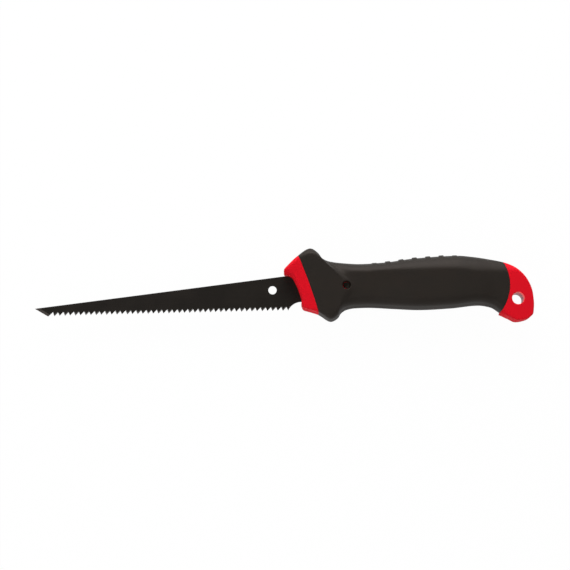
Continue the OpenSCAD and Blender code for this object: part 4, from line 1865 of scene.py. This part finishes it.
@dataclass(frozen=True)
class Studio:
    """Paper sweep, soft light and the camera.

    Lengths are in metres, but the sensor's width is in millimetres. Powers are in watts.
    """

    centre: Vector
    field: float = 0.342
    distance: float = 1.45
    elevation: float = 84.4
    aim_y: float = 0.0002
    sensor: float = 36.0
    paper_r: float = 4.0
    paper_t: float = 0.004
    key_power: float = 16.0
    fill_power: float = 4.6
    lamp_size: float = 0.9
    lamp_distance: float = 1.1
    horizon: float = 0.8
    zenith: float = 0.06

    # Heights on the unit sphere between which the light falls from horizon to zenith
    DUSK = (0.3, 0.95)
    PAPER_SIDES = 96

    def camera(self) -> None:
        """Places the camera on the belly's side of the vertical, with the back of the blade up."""
        up = math.radians(self.elevation)
        data = bpy.data.cameras.new("camera")
        data.sensor_width = self.sensor
        data.lens = self.sensor * self.distance / self.field
        camera = bpy.data.objects.new("camera", data)
        bpy.context.scene.collection.objects.link(camera)
        aim = self.centre + Vector((0, self.aim_y, 0))
        camera.location = aim + self.distance * Vector((0, -math.cos(up), math.sin(up)))
        camera.rotation_euler = (aim - camera.location).to_track_quat("-Z", "Y").to_euler()
        bpy.context.scene.camera = camera

    def lamp(self, name: str, side: Side, power: float) -> None:
        """Adds one soft square lamp that faces the saw.

        Args:
            name: The lamp's name.
            side: Where it stands.
            power: Its power in watts.
        """
        data = bpy.data.lights.new(name, "AREA")
        data.shape = "SQUARE"
        data.size = self.lamp_size
        data.energy = power
        lamp = bpy.data.objects.new(name, data)
        bpy.context.scene.collection.objects.link(lamp)
        lamp.location = self.centre + self.lamp_distance * side.way
        lamp.rotation_euler = (-side.way).to_track_quat("-Z", "Y").to_euler()

    def sky(self) -> None:
        """Sets the tent of light: white at the horizon and dimmer overhead."""
        world = bpy.data.worlds.new("light_tent")
        bpy.context.scene.world = world
        world.use_nodes = True
        sheet = NodeSheet(world.node_tree)
        way = sheet.node("ShaderNodeTexCoord", {}, {}).outputs["Generated"]
        height = Term(sheet, sheet.node("ShaderNodeSeparateXYZ", {}, {0: way}).outputs["Z"])
        strength = self.horizon - (self.horizon - self.zenith) * height.ease(*self.DUSK)
        back = world.node_tree.nodes["Background"]
        sheet.fill(back.inputs["Color"], (1.0, 1.0, 1.0))
        sheet.fill(back.inputs["Strength"], strength)

    def paper(self) -> None:
        """Lays the paper under the saw."""
        profile = [(self.paper_r, -self.paper_t), (self.paper_r, 0.0)]
        floor = MeshWork.turned("paper_sweep", Vector((0, 0, 0)), profile, self.PAPER_SIDES)
        floor.data.materials.append(StudioPaper().material())

    def build(self) -> None:
        """Sets up the whole studio with a plain view transform."""
        bpy.context.scene.view_settings.view_transform = "Standard"
        self.camera()
        self.lamp("key_lamp", Side.BEHIND_BACK, self.key_power)
        self.lamp("fill_lamp", Side.BEFORE_TEETH, self.fill_power)
        self.sky()
        self.paper()


# ---- The whole saw ----


def hand_over(piece: bpy.types.Object, node: str, slot: str) -> None:
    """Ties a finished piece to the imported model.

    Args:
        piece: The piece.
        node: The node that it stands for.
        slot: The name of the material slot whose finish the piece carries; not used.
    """
    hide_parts(node)
    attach(piece, "root")
    log.info("%s stands for %s: %d faces", piece.name, node, len(piece.data.polygons))


def main() -> None:
    """Builds the studio and the saw."""
    logging.basicConfig(level=logging.INFO, format="%(name)s: %(message)s")
    form = HandleForm()
    pin_low, pin_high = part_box("tang_pin")
    pin = (pin_low + pin_high) / 2
    placing = Placing(pin - PIN_PLACE * MM)
    Studio(centre=placing.origin).build()

    steel = CoatedSteel("coated_steel", (0.0105, 0.0085, 0.0068), roughness=0.34, specular=0.25)
    plastic = GlossPlastic(
        "red_plastic", (0.645, 0.0026, 0.0072), roughness=0.66, specular=0.125, gleam=(1.0, 0.62, 1.3)
    )
    rubber = SoftRubber(
        "black_rubber", (0.0134, 0.0112, 0.0090), roughness=0.51, specular=0.19, gleam=(1.0, 0.88, 0.83)
    )
    dark = TurnedSteel("pin_steel", (0.029, 0.029, 0.022), roughness=0.5, specular=0.3, centre=tuple(pin))

    blade = Blade.from_frame(placing)
    core = HandleCore.from_frame(placing, form, blade)
    grip = SoftGrip(placing, form, pin)
    hand_over(blade.build(steel.material()), "blade", steel.name)
    hand_over(core.build(plastic.material()), "handle_core", plastic.name)
    hand_over(grip.build(rubber.material()), "soft_grip", rubber.name)
    hand_over(TangPin(pin_low, pin_high).build(dark.material()), "tang_pin", dark.name)


if __name__ == "__main__":
    main()
